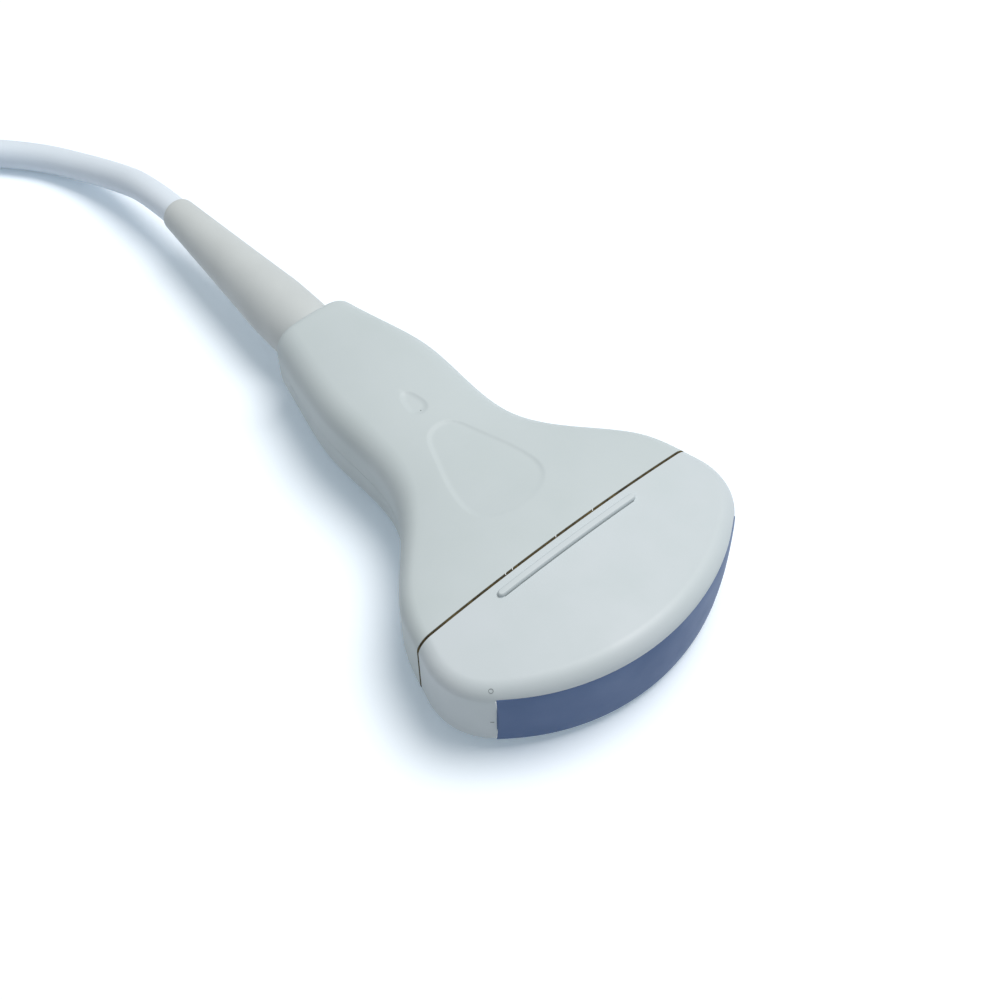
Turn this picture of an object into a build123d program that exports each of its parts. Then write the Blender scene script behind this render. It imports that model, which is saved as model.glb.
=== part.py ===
"""A convex ultrasound probe with its cable and plug, in millimetres, lying on its back.

X runs across the head, +Y runs from the lens towards the cable, +Z is up.
The origin is on the surface it lies on, under the middle of the probe, boot included.
Places along the probe and on the cable's route are given as distances behind the seam
between nose and handle, and turned into places in the frame by the value seam_y.
"""

import os
from math import asin, atan, cos, degrees, hypot, pi, radians, sin, sqrt, tan

from build123d import *

# Head: a fan-shaped array of 50 mm radius
array_radius = 50.0
nose_length = 28.8
seam_half_width = 35.0
side_lean = 0.29
corner_radius = 14.5
head_half_thickness = 9.4
head_crown = 2.2
head_edge_radius = 3.5

# Handle
handle_length = 77.4
waist_half_thickness = 8.9
palm_half_thickness = 9.8
rear_half_thickness = 8.3
rear_crown = 1.0
handle_edge_radius = 5.5
rear_edge_radius = 2.6
smallest_edge_radius = 0.8
waist_place = 27.0
palm_before_rear = 23.4
full_edge_place = 25.0
wall = 2.2
seam_gap = 0.36
parting_gap = 0.1
fit_clearance = 0.1
tiny = 0.01

# Side line of the handle: distance and half width, from the seam and from the rear end
front_side_points = [(9.7, 31.5), (19.3, 23.8), (29.0, 16.9), (37.0, 14.85)]
rear_side_points = [(21.0, 14.45), (9.7, 12.4)]
rear_half_width = 10.1
rear_lean = 0.24
lead_in = 6.0
station_count = 14

# Spigot on the nose
spigot_length = 4.0
spigot_wall = 1.5
spigot_root = 2.5
collar_overlap = 0.6

# Tongue on the lower shell's edge and the groove for it in the upper shell
tongue_inset = 0.8
tongue_width = 0.7
tongue_root = 0.6
tongue_reach = 0.9
tongue_front = 1.0
tongue_before_rear = 6.0

# Gasket
gasket_set_back = 0.5

# Rib on the nose, thumb recess and finger mark on the upper shell
rib_half_length = 16.6
rib_ahead = 3.0
rib_width = 2.0
rib_height = 0.6
rib_edge_radius = 0.48
recess_front = 9.8
recess_side_points = [(5.3, 10.8), (8.5, 13.2), (9.45, 16.5), (8.2, 23.5), (5.7, 30.4), (3.6, 34.5)]
recess_rear = 36.6
recess_lowest = 27.0
recess_depth = 1.0
recess_bowl_radius = 92.0
mark_front = 40.1
mark_side_points = [(1.7, 41.0), (2.15, 42.5), (1.1, 45.7)]
mark_rear = 46.9
mark_lowest = 43.2
mark_depth = 0.5
mark_bowl_radius = 30.0

# Acoustic stack, from the lens inwards
lens_half_width = 30.9
lens_half_height = 7.5
lens_edge_drop = 0.5
lens_thickness = 1.6
lens_clearance = 0.05
outer_layer_thickness = 0.3
inner_layer_thickness = 0.35
foil_thickness = 0.1
piezo_thickness = 0.5
backing_thickness = 8.0
stack_half_height = 6.9
stack_half_angle = 36.0
element_count = 64
kerf_width = 0.12
kerf_skin = 0.1

# Frame behind the stack, with two arms that carry the board
frame_wall = 2.2
frame_half_angle = 31.0
arm_spread = 17.6
arm_width = 4.2
arm_rear = 8.0
arm_half_height = 5.0

# Board, flex circuits and their connectors
board_thickness = 1.2
board_front_half_width = 20.5
board_rear_half_width = 10.0
board_front = -9.0
board_taper_start = 17.0
board_taper_end = 27.0
board_rear = 40.0
flex_thickness = 0.15
flex_half_width = 15.0
flex_end = 12.0
flex_level_end = -12.0
connector_length = 4.0
connector_height = 1.6
connector_chamfer = 0.4
coax_connector_front = 30.0
coax_half_width = 8.0
screw_radius = 1.0
screw_head_radius = 1.8
screw_head_height = 1.0
screw_length = 5.0
front_screw_place = -6.0
rear_screw_place = 4.0

# Cable, its clamp and the boot
cable_radius = 3.4
cable_clearance = 0.05
cable_end = 58.0
clamp_front = 61.0
clamp_length = 7.0
clamp_wall = 1.8
clamp_ear_width = 14.7
clamp_ear_length = 2.0
ribbon_thickness = 1.0
ribbon_end_half_width = 2.4
ribbon_end_level = 0.05
ribbon_side_inset = 1.0
boot_length = 53.6
boot_base_radius = 8.2
boot_shoulder = 16.4
boot_shoulder_radius = 7.95
boot_tip_radius = 4.35
boot_tip_round = 0.7
boot_sink = 1.6
boot_neck_radius = 6.0
boot_flange_radius = 6.9
boot_flange_length = 2.2
lip_thickness = 1.6

# Route of the free cable from the boot to the coil: across, behind the seam, height of its middle
cord_points = [
    (0.0, 131.0, 11.6),
    (-0.3, 143.0, 10.9),
    (-2.0, 154.5, 7.6),
    (-4.9, 165.3, 4.8),
    (-10.0, 176.5, 3.4),
    (-18.6, 186.2, 3.4),
    (-30.2, 198.1, 3.4),
    (-42.2, 209.8, 3.4),
]

# Coil of the stored cable: rows of turns lying on each other
coil_columns = 3
coil_rows = 3
coil_mean_radius = 31.5
coil_centre = (-69.3, 182.8)
coil_draw_in = 0.2
coil_corner_radius = 3.2

# Route of the tail from the coil up to the plug
tail_points = [
    (-44.2, 188.0, 17.0),
    (-50.4, 200.0, 17.2),
    (-61.8, 207.3, 19.6),
    (-75.3, 207.7, 22.8),
    (-87.1, 201.2, 26.2),
    (-94.0, 189.6, 28.8),
    (-94.0, 176.2, 29.4),
]
bend_share = 0.45

# Plug at the far end of the cable, pointing back along -Y
plug_boot_length = 10.0
plug_body_length = 34.0
plug_body_width = 34.0
plug_body_height = 18.0
plug_wall = 1.6
plug_corner = 4.0
plug_edge = 1.6
plug_boot_radius = 6.2
plug_boot_tip_radius = 4.35
plug_boot_neck_radius = 4.9
plug_boot_flange_radius = 6.4
plug_boot_flange_length = 1.4
plug_cable_length = 9.0
plug_clamp_length = 4.0
plug_clamp_wall = 1.6
shroud_half_width = 12.0
shroud_half_height = 4.6
shroud_wall = 0.7
shroud_corner = 1.5
shroud_reach = 7.0
shroud_inner_length = 4.0
shroud_flange = 1.0
shroud_flange_thickness = 1.0
block_length = 5.0
contacts_in_row = 14
contact_pitch = 1.27
contact_size = 0.5
contact_reach = 3.5
contact_tail = 2.5
plug_board_thickness = 1.2
plug_board_length = 9.0
plug_board_half_width = 9.2
plug_post_inset = 5.0
plug_front_post_inset = 9.6
plug_post_radius = 2.3
plug_screw_radius = 0.9
plug_screw_head_radius = 1.6
plug_screw_head_height = 0.8
plug_screw_recess = 1.0
plug_clamp_set_back = 0.5
plug_wires_width = 13.8
plug_wires_height = 1.9
jacket_thickness = 0.8
block_chamfer = 0.8
plug_screw_length = 10.0

# Derived places
mid_height = head_half_thickness + head_crown
seam_y = (nose_length - handle_length - boot_length) / 2
array_centre_y = seam_y + array_radius - nose_length
rear_y = seam_y + handle_length
boot_tip_y = rear_y + boot_length
rear_wall = boot_sink + lip_thickness
cable_bore = cable_radius + cable_clearance
os.makedirs("parts", exist_ok=True)


def save(builder, label):
    """Label a finished piece and write it to its own file."""
    builder.part.label = label
    export_step(builder.part, f"parts/{label}.step")


def eased(position, knots):
    """Value at a position on a smooth curve that is level at each knot."""
    if position <= knots[0][0]:
        return knots[0][1]
    for (start, low), (end, high) in zip(knots, knots[1:]):
        if position <= end:
            share = (1 - cos(pi * (position - start) / (end - start))) / 2
            return low + (high - low) * share
    return knots[-1][1]


def across(y, x=0.0, height=mid_height):
    """Plane across the probe at a place along it, facing the lens."""
    return Plane(origin=(x, y, height), x_dir=(1, 0, 0), z_dir=(0, -1, 0))


def crown_rise(x, half_width, crown):
    """Height of the crown's arc above its ends at a distance from the middle."""
    radius = (half_width**2 + crown**2) / (2 * crown)
    return crown - radius + sqrt(radius**2 - x**2)


def body_section(y, half_width, half_thickness, crown, edge):
    """One crowned section of the body with round corners."""
    top = half_thickness + crown
    with BuildSketch(across(y)) as section:
        with BuildLine():
            ThreePointArc((half_width, half_thickness), (0, top), (-half_width, half_thickness))
            Line((-half_width, half_thickness), (-half_width, -half_thickness))
            ThreePointArc((-half_width, -half_thickness), (0, -top), (half_width, -half_thickness))
            Line((half_width, -half_thickness), (half_width, half_thickness))
        make_face()
        fillet(section.vertices(), edge)
    return section.sketch


# Side line of the handle, from a little ahead of the seam to its rear end
with BuildLine() as side_line:
    Spline(
        [(seam_half_width + side_lean * lead_in, -lead_in), (seam_half_width, 0)]
        + [(half_width, distance) for distance, half_width in front_side_points]
        + [(half_width, handle_length - distance) for distance, half_width in rear_side_points]
        + [(rear_half_width, handle_length)],
        tangents=[(-side_lean, 1), (-rear_lean, 1)],
    )
side_edge = side_line.edges()[0]


def handle_thickness(distance):
    """Half thickness at the handle's edges."""
    knots = [
        (0, head_half_thickness),
        (waist_place, waist_half_thickness),
        (handle_length - palm_before_rear, palm_half_thickness),
        (handle_length, rear_half_thickness),
    ]
    return eased(distance, knots)


def handle_crown(distance):
    """Rise of the handle's top and bottom above its edges."""
    return eased(distance, [(0, head_crown), (handle_length, rear_crown)])


def handle_form(inset):
    """The handle's outside, or a surface set in from it, from ahead of the seam to its rear end."""
    sections = []
    for index in range(station_count):
        point = side_edge.position_at(index / (station_count - 1))
        half_thickness = handle_thickness(point.Y) - inset
        edge = eased(point.Y, [(0, head_edge_radius), (full_edge_place, handle_edge_radius)])
        rounding = max(edge - inset, smallest_edge_radius)
        y = seam_y + point.Y
        sections.append(body_section(y, point.X - inset, half_thickness, handle_crown(point.Y), rounding))
    with BuildPart() as form:
        loft(sections=sections)
    return form.part


def nose_outline(inset, rear):
    """Plan of the nose: the array's arc, two corner arcs and two leaning sides, up to a place at its rear."""
    slope = hypot(1, side_lean)
    radius = array_radius - inset
    corner = corner_radius - inset
    half_width = seam_half_width - inset * slope
    centre = array_centre_y - seam_y
    reach = radius - corner
    turn = asin((half_width - corner * slope - side_lean * centre) / (reach * slope)) + atan(side_lean)
    arc_end = (radius * sin(turn), array_centre_y - radius * cos(turn))
    corner_centre = (reach * sin(turn), array_centre_y - reach * cos(turn))
    side_start = (corner_centre[0] + corner / slope, corner_centre[1] + corner * side_lean / slope)
    middle = (turn + pi / 2 + atan(side_lean)) / 2
    corner_middle = (corner_centre[0] + corner * sin(middle), corner_centre[1] - corner * cos(middle))
    side_end = (half_width - side_lean * (rear - seam_y), rear)

    def mirrored(point):
        return (-point[0], point[1])

    with BuildLine() as line:
        ThreePointArc(mirrored(arc_end), (0, array_centre_y - radius), arc_end)
        ThreePointArc(arc_end, corner_middle, side_start)
        Line(side_start, side_end)
        Line(side_end, mirrored(side_end))
        Line(mirrored(side_end), mirrored(side_start))
        ThreePointArc(mirrored(side_start), mirrored(corner_middle), mirrored(arc_end))
    return line.edges()


def nose_form(inset, rear):
    """The nose's outside, or a surface set in from it, up to a place at its rear."""
    half_width = seam_half_width - inset
    top = head_half_thickness - inset + head_crown
    reach = 1.5 * seam_half_width
    level = top - head_crown + crown_rise(reach, half_width, head_crown)
    with BuildPart() as form:
        with BuildSketch(Plane.XY):
            make_face(nose_outline(inset, rear))
        extrude(amount=2 * mid_height)
        with BuildSketch(across(rear)):
            with BuildLine():
                ThreePointArc((reach, level), (0, top), (-reach, level))
                Line((-reach, level), (-reach, -level))
                ThreePointArc((-reach, -level), (0, -top), (reach, -level))
                Line((reach, -level), (reach, level))
            make_face()
        extrude(amount=2 * array_radius, mode=Mode.INTERSECT)
        caps = [form.faces().sort_by(Axis.Z)[-1], form.faces().sort_by(Axis.Z)[0]]
        rims = [edge for cap in caps for edge in cap.edges() if edge.center().Y < rear - tiny]
        fillet(rims, max(head_edge_radius - inset, smallest_edge_radius))
    return form.part


def between(front, rear):
    """Block that covers the whole section from one place along the probe to another."""
    with BuildPart() as block:
        with BuildSketch(across(front)):
            Rectangle(6 * seam_half_width, 8 * mid_height)
        extrude(amount=front - rear)
    return block.part


def ring_sector(inner, outer, half_height, half_angle):
    """Curved slab about the array's centre, as high and as wide as given."""
    side = 2 * array_radius * tan(radians(half_angle))
    with BuildPart() as slab:
        with BuildSketch(Plane.XY.offset(mid_height - half_height)):
            with Locations((0, array_centre_y)):
                Circle(outer)
                Circle(inner, mode=Mode.SUBTRACT)
            with BuildLine():
                Polyline(
                    (0, array_centre_y),
                    (side, array_centre_y - 2 * array_radius),
                    (-side, array_centre_y - 2 * array_radius),
                    close=True,
                )
            make_face(mode=Mode.INTERSECT)
        extrude(amount=2 * half_height)
    return slab.part


def turned(points, plane):
    """Solid of revolution about a plane's normal, from points of distance along it and radius."""
    with BuildPart() as form:
        with BuildSketch(Plane(origin=plane.origin, x_dir=plane.z_dir, z_dir=plane.x_dir)):
            with BuildLine():
                Polyline(*points, close=True)
            make_face()
        revolve(axis=Axis(plane.origin, plane.z_dir), revolution_arc=360)
    return form.part


# Acoustic lens: a silicone strip, bulged across its height, that fills the window
lens_half_angle = degrees(asin(lens_half_width / array_radius))
lens_back = array_radius - lens_thickness
lens_edge_radius = array_radius - lens_edge_drop
with BuildPart() as acoustic_lens:
    with BuildSketch(Plane(origin=(0, array_centre_y, mid_height), x_dir=(0, -1, 0), z_dir=(-1, 0, 0))):
        with BuildLine():
            ThreePointArc(
                (lens_edge_radius, -lens_half_height),
                (array_radius, 0),
                (lens_edge_radius, lens_half_height),
            )
            Line((lens_edge_radius, lens_half_height), (lens_back, lens_half_height))
            Line((lens_back, lens_half_height), (lens_back, -lens_half_height))
            Line((lens_back, -lens_half_height), (lens_edge_radius, -lens_half_height))
        make_face()
    revolve(axis=Axis((0, array_centre_y, mid_height), (0, 0, 1)), revolution_arc=360)
    add(
        ring_sector(lens_back / 2, 2 * array_radius, 2 * lens_half_height, lens_half_angle),
        mode=Mode.INTERSECT,
    )
save(acoustic_lens, "acoustic_lens")

# Layers behind the lens, each on the back of the one before it
outer_layer_back = lens_back - outer_layer_thickness
inner_layer_back = outer_layer_back - inner_layer_thickness
foil_back = inner_layer_back - foil_thickness
piezo_back = foil_back - piezo_thickness
backing_back = piezo_back - backing_thickness

with BuildPart() as outer_matching_layer:
    add(ring_sector(outer_layer_back, lens_back, stack_half_height, stack_half_angle))
save(outer_matching_layer, "outer_matching_layer")

with BuildPart() as inner_matching_layer:
    add(ring_sector(inner_layer_back, outer_layer_back, stack_half_height, stack_half_angle))
save(inner_matching_layer, "inner_matching_layer")

with BuildPart() as ground_foil:
    add(ring_sector(foil_back, inner_layer_back, stack_half_height, stack_half_angle))
save(ground_foil, "ground_foil")

# Ceramic: one curved strip, sawn from behind into a row of elements that a thin skin still joins
element_angle = 2 * stack_half_angle / element_count
with BuildPart() as piezo_array:
    add(ring_sector(piezo_back, foil_back, stack_half_height, stack_half_angle))
    with Locations((0, array_centre_y, mid_height)):
        with PolarLocations(
            piezo_back,
            element_count - 1,
            start_angle=-90 - stack_half_angle + element_angle,
            angular_range=2 * stack_half_angle - 2 * element_angle,
            endpoint=True,
        ):
            Box(
                2 * (piezo_thickness - kerf_skin),
                kerf_width,
                3 * stack_half_height,
                mode=Mode.SUBTRACT,
            )
save(piezo_array, "piezo_array")

with BuildPart() as backing_block:
    add(ring_sector(backing_back, piezo_back, stack_half_height, stack_half_angle))
save(backing_block, "backing_block")

# Nose: a moulded cap with the lens window in front, a rib on top and a spigot into the handle
nose_rear = seam_y - seam_gap / 2
shell_front = seam_y + seam_gap / 2
rib_y = seam_y - rib_ahead
rib_level = head_half_thickness + rib_height
with BuildPart() as rib_bar:
    with BuildSketch(Plane.XY.offset(mid_height + head_half_thickness)):
        with Locations((0, rib_y)):
            SlotOverall(2 * rib_half_length + rib_width, rib_width)
    extrude(amount=head_crown + 2 * rib_height)
    with BuildSketch(across(rib_y + rib_width)):
        with BuildLine():
            ThreePointArc(
                (seam_half_width, rib_level), (0, rib_level + head_crown), (-seam_half_width, rib_level)
            )
            Line((-seam_half_width, rib_level), (-seam_half_width, 0))
            Line((-seam_half_width, 0), (seam_half_width, 0))
            Line((seam_half_width, 0), (seam_half_width, rib_level))
        make_face()
    extrude(amount=2 * rib_width, mode=Mode.INTERSECT)
    fillet(rib_bar.faces().sort_by(Axis.Z)[-1].edges(), rib_edge_radius)

spigot_inset = wall + fit_clearance
with BuildPart() as nose_spigot:
    add(handle_form(spigot_inset))
    add(between(nose_rear - spigot_root, seam_y + spigot_length), mode=Mode.INTERSECT)
with BuildPart() as nose_collar:
    add(handle_form(wall - collar_overlap))
    add(between(nose_rear - spigot_root, nose_rear), mode=Mode.INTERSECT)
with BuildPart() as nose:
    add(nose_form(0, nose_rear))
    add(rib_bar.part)
    add(nose_form(wall, nose_rear + 1), mode=Mode.SUBTRACT)
    add(nose_collar.part)
    add(nose_spigot.part)
    add(handle_form(spigot_inset + spigot_wall), mode=Mode.SUBTRACT)
    add(
        ring_sector(
            array_radius / 2,
            2 * array_radius,
            lens_half_height + lens_clearance,
            lens_half_angle + degrees(lens_clearance / array_radius),
        ),
        mode=Mode.SUBTRACT,
    )
save(nose, "nose")

# Gasket that fills the seam, set back from the skin
with BuildPart() as seam_gasket:
    add(handle_form(gasket_set_back))
    add(between(nose_rear, shell_front), mode=Mode.INTERSECT)
    add(handle_form(wall), mode=Mode.SUBTRACT)
save(seam_gasket, "seam_gasket")


def dish_cutter(front, side_points, rear, lowest, depth, bowl_radius):
    """Cutter for a shallow dish: a rounded outline over a hollow that deepens to its lowest place."""
    skin = mid_height + handle_thickness(lowest) + handle_crown(lowest)
    with BuildPart() as cutter:
        with BuildSketch(Plane.XY.offset(mid_height)):
            with BuildLine():
                Spline(
                    [(0, seam_y + front)]
                    + [(x, seam_y + distance) for x, distance in side_points]
                    + [(0, seam_y + rear)],
                    tangents=[(1, 0), (-1, 0)],
                )
                mirror(about=Plane.YZ)
            make_face()
        extrude(amount=2 * mid_height)
        with BuildSketch(Plane(origin=(-seam_half_width, 0, 0), x_dir=(0, 1, 0), z_dir=(1, 0, 0))):
            with Locations((seam_y + lowest, skin - depth + bowl_radius)):
                Circle(bowl_radius)
        extrude(amount=2 * seam_half_width, mode=Mode.INTERSECT)
    return cutter.part


# Handle: the outer form with its rear edge rounded, hollowed, with a counterbored mouth for the boot
with BuildPart() as handle_body:
    add(handle_form(0))
    add(between(shell_front, rear_y + 1), mode=Mode.INTERSECT)
    fillet(handle_body.faces().sort_by(Axis.Y)[-1].edges(), rear_edge_radius)
with BuildPart() as handle_cavity:
    add(handle_form(wall))
    add(between(seam_y - 1, rear_y - rear_wall), mode=Mode.INTERSECT)
boot_mouth = turned(
    [
        (-1, 0),
        (-1, boot_base_radius + fit_clearance),
        (boot_sink, boot_base_radius + fit_clearance),
        (boot_sink, boot_neck_radius + fit_clearance),
        (rear_wall + 1, boot_neck_radius + fit_clearance),
        (rear_wall + 1, 0),
    ],
    across(rear_y),
)


def half_shell(base, reach):
    """The handle's part on one side of a level: its outer form, hollowed and with the boot's mouth."""
    with BuildPart() as half:
        add(handle_body.part)
        with BuildSketch(Plane.XY.offset(mid_height + base)):
            with Locations((0, (seam_y + rear_y) / 2)):
                Rectangle(4 * seam_half_width, 2 * handle_length)
        extrude(amount=reach, mode=Mode.INTERSECT)
        add(handle_cavity.part, mode=Mode.SUBTRACT)
        add(boot_mouth, mode=Mode.SUBTRACT)
    return half.part


def tongue_band(clearance, base, top):
    """Strip that follows the wall along the parting, between two levels, with a clearance round it."""
    tongue_length = handle_length - tongue_front - tongue_before_rear
    with BuildPart() as band:
        add(handle_form(tongue_inset - clearance))
        add(handle_form(tongue_inset + tongue_width + clearance), mode=Mode.SUBTRACT)
        with BuildSketch(Plane.XY.offset(mid_height + base)):
            with Locations((0, (seam_y + rear_y + tongue_front - tongue_before_rear) / 2)):
                Rectangle(4 * seam_half_width, tongue_length + 2 * clearance)
        extrude(amount=top - base, mode=Mode.INTERSECT)
    return band.part


with BuildPart() as upper_handle_shell:
    add(half_shell(parting_gap / 2, 2 * mid_height))
    add(tongue_band(fit_clearance, -tongue_root, tongue_reach + fit_clearance), mode=Mode.SUBTRACT)
    add(
        dish_cutter(
            recess_front,
            recess_side_points,
            recess_rear,
            recess_lowest,
            recess_depth,
            recess_bowl_radius,
        ),
        mode=Mode.SUBTRACT,
    )
    add(
        dish_cutter(
            mark_front,
            mark_side_points,
            mark_rear,
            mark_lowest,
            mark_depth,
            mark_bowl_radius,
        ),
        mode=Mode.SUBTRACT,
    )
save(upper_handle_shell, "upper_handle_shell")

with BuildPart() as lower_handle_shell:
    add(half_shell(-parting_gap / 2, -2 * mid_height))
    add(tongue_band(0, -tongue_root, tongue_reach))
save(lower_handle_shell, "lower_handle_shell")

# Frame: a curved plate behind the backing block, with two arms that carry the board
board_base = mid_height - board_thickness / 2
board_top = mid_height + board_thickness / 2
frame_back = backing_back - frame_wall
arm_front_y = array_centre_y - sqrt(backing_back**2 - arm_spread**2) + frame_wall / 2
screw_places = [
    (side * arm_spread, seam_y + place)
    for side in (-1, 1)
    for place in (front_screw_place, rear_screw_place)
]
with BuildPart() as array_frame:
    add(ring_sector(frame_back, backing_back, stack_half_height, frame_half_angle))
    with BuildSketch(Plane.XY.offset(mid_height - arm_half_height)):
        with Locations(*[(side * arm_spread, arm_front_y) for side in (-1, 1)]):
            Rectangle(arm_width, seam_y + arm_rear - arm_front_y, align=(Align.CENTER, Align.MIN))
    extrude(amount=arm_half_height - board_thickness / 2)
    with Locations(*[(x, y, board_base) for x, y in screw_places]):
        Cylinder(
            screw_radius,
            screw_length - board_thickness,
            align=(Align.CENTER, Align.CENTER, Align.MAX),
            mode=Mode.SUBTRACT,
        )
save(array_frame, "array_frame")

# Board that joins the flex circuits to the cable's wires
with BuildPart() as interconnect_board:
    with BuildSketch(Plane.XY.offset(board_base)):
        with BuildLine():
            Polyline(
                (-board_front_half_width, seam_y + board_front),
                (board_front_half_width, seam_y + board_front),
                (board_front_half_width, seam_y + board_taper_start),
                (board_rear_half_width, seam_y + board_taper_end),
                (board_rear_half_width, seam_y + board_rear),
                (-board_rear_half_width, seam_y + board_rear),
                (-board_rear_half_width, seam_y + board_taper_end),
                (-board_front_half_width, seam_y + board_taper_start),
                close=True,
            )
        make_face()
        with Locations(*screw_places):
            Circle(screw_radius, mode=Mode.SUBTRACT)
    extrude(amount=board_thickness)
save(interconnect_board, "interconnect_board")

with BuildPart() as board_screws:
    with Locations(*[(x, y, board_top) for x, y in screw_places]):
        Cylinder(screw_radius, screw_length, align=(Align.CENTER, Align.CENTER, Align.MAX))
        Cylinder(screw_head_radius, screw_head_height, align=(Align.CENTER, Align.CENTER, Align.MIN))
save(board_screws, "board_screws")

# Flex circuits over and under the backing block, and what they and the wires plug into
sheet_level = stack_half_height + flex_thickness / 2
sheet_end_level = board_thickness / 2 + connector_height / 2
for side, name in ((1, "upper"), (-1, "lower")):
    with BuildPart() as flex_circuit:
        with BuildSketch(Plane(origin=(-flex_half_width, 0, mid_height), x_dir=(0, 1, 0), z_dir=(1, 0, 0))):
            with BuildLine():
                Polyline(
                    (seam_y - nose_length, side * (sheet_level - flex_thickness / 2)),
                    (seam_y + flex_level_end, side * (sheet_level - flex_thickness / 2)),
                    (seam_y + flex_end, side * (sheet_end_level - flex_thickness / 2)),
                    (seam_y + flex_end, side * (sheet_end_level + flex_thickness / 2)),
                    (seam_y + flex_level_end, side * (sheet_level + flex_thickness / 2)),
                    (seam_y - nose_length, side * (sheet_level + flex_thickness / 2)),
                    close=True,
                )
            make_face()
        extrude(amount=2 * flex_half_width)
        with Locations((0, array_centre_y, mid_height)):
            Cylinder(foil_back, 4 * stack_half_height, mode=Mode.INTERSECT)
    save(flex_circuit, f"{name}_flex_circuit")

    face = mid_height + side * board_thickness / 2
    with BuildPart() as flex_connector:
        with BuildSketch(Plane.XY.offset(face)):
            with Locations((0, seam_y + flex_end + connector_length / 2)):
                Rectangle(2 * flex_half_width + 2, connector_length)
        extrude(amount=side * connector_height)
        chamfer(flex_connector.edges().filter_by(Axis.Z), connector_chamfer)
    save(flex_connector, f"{name}_flex_connector")

    coax_rear = coax_connector_front + connector_length
    with BuildPart() as coax_connector:
        with BuildSketch(Plane.XY.offset(face)):
            with Locations((0, seam_y + coax_connector_front + connector_length / 2)):
                Rectangle(2 * coax_half_width, connector_length)
        extrude(amount=side * connector_height)
        chamfer(coax_connector.edges().filter_by(Axis.Z), connector_chamfer)
    save(coax_connector, f"{name}_coax_connector")

    ribbon_level = board_thickness / 2 + (connector_height - ribbon_thickness) / 2
    with BuildPart() as coax_ribbon:
        with BuildSketch(Plane(origin=(-coax_half_width, 0, mid_height), x_dir=(0, 1, 0), z_dir=(1, 0, 0))):
            with BuildLine():
                Polyline(
                    (seam_y + coax_rear, side * ribbon_level),
                    (seam_y + board_rear, side * ribbon_level),
                    (seam_y + cable_end, side * ribbon_end_level),
                    (seam_y + cable_end, side * (ribbon_end_level + ribbon_thickness)),
                    (seam_y + board_rear, side * (ribbon_level + ribbon_thickness)),
                    (seam_y + coax_rear, side * (ribbon_level + ribbon_thickness)),
                    close=True,
                )
            make_face()
        extrude(amount=2 * coax_half_width)
        with BuildSketch(Plane.XY):
            with BuildLine():
                Polyline(
                    (-coax_half_width + ribbon_side_inset, seam_y + coax_rear),
                    (coax_half_width - ribbon_side_inset, seam_y + coax_rear),
                    (ribbon_end_half_width, seam_y + cable_end),
                    (-ribbon_end_half_width, seam_y + cable_end),
                    close=True,
                )
            make_face()
        extrude(amount=2 * mid_height, mode=Mode.INTERSECT)
    save(coax_ribbon, f"{name}_coax_ribbon")

# Cable inside the handle and boot, with its crimped clamp
with BuildPart() as cable_inner_end:
    with BuildSketch(across(boot_tip_y)):
        Circle(cable_radius)
    extrude(amount=boot_tip_y - seam_y - cable_end)
save(cable_inner_end, "cable_inner_end")

with BuildPart() as cable_clamp:
    with BuildSketch(across(seam_y + clamp_front + clamp_length)):
        Circle(cable_bore + clamp_wall)
        Circle(cable_bore, mode=Mode.SUBTRACT)
    extrude(amount=clamp_length)
    with BuildSketch(across(seam_y + clamp_front + (clamp_length + clamp_ear_length) / 2)):
        RectangleRounded(clamp_ear_width, 2 * (cable_bore + clamp_wall), clamp_wall)
        Circle(cable_bore, mode=Mode.SUBTRACT)
    extrude(amount=clamp_ear_length)
save(cable_clamp, "cable_clamp")


def boot_form(plane, stations, bore, tip_round):
    """Strain relief turned about the cable: its captured flange, neck and tapering sleeve, with a bore."""
    outline = [(stations[0][0], bore)] + stations + [(stations[-1][0], bore)]
    with BuildPart() as form:
        add(turned(outline, plane))
        tip = form.edges().filter_by(GeomType.CIRCLE).filter_by(
            lambda edge: abs(edge.radius - stations[-1][1]) < tiny
        )
        fillet(tip, tip_round)
    return form.part


# Boot: its flange sits behind the lip of the handle's mouth
with BuildPart() as boot:
    add(
        boot_form(
            across(rear_y),
            [
                (rear_wall + boot_flange_length, boot_flange_radius),
                (rear_wall, boot_flange_radius),
                (rear_wall, boot_neck_radius),
                (boot_sink, boot_neck_radius),
                (boot_sink, boot_base_radius),
                (0, boot_base_radius),
                (-boot_shoulder, boot_shoulder_radius),
                (-boot_length, boot_tip_radius),
            ],
            cable_bore,
            boot_tip_round,
        )
    )
save(boot, "boot")


def tube(points, name):
    """Plain cable along a route of straight runs joined by arcs as large as the runs allow."""
    places = [Vector(x, seam_y + y, z) for x, y, z in points]
    runs = [end - start for start, end in zip(places, places[1:])]
    radii = []
    for run, following in zip(runs, runs[1:]):
        half_turn = radians(run.get_angle(following)) / 2
        radii.append(bend_share * min(run.length, following.length) / tan(half_turn))
    with BuildPart() as form:
        with BuildLine() as route:
            FilletPolyline(*places, radius=radii)
        with BuildSketch(Plane(origin=places[0], z_dir=runs[0])):
            Circle(cable_radius)
        sweep()
    length = sum(edge.length for edge in route.edges())
    share = form.part.volume / (pi * cable_radius**2 * length)
    print(name, "bend radii", [round(radius, 1) for radius in radii], "length", round(length, 1))
    print(name, "volume over section times length", round(share, 4))
    return form.part


with BuildPart() as cord:
    add(tube(cord_points, "cord"))
    add(cable_inner_end.part, mode=Mode.SUBTRACT)
save(cord, "cord")

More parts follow.
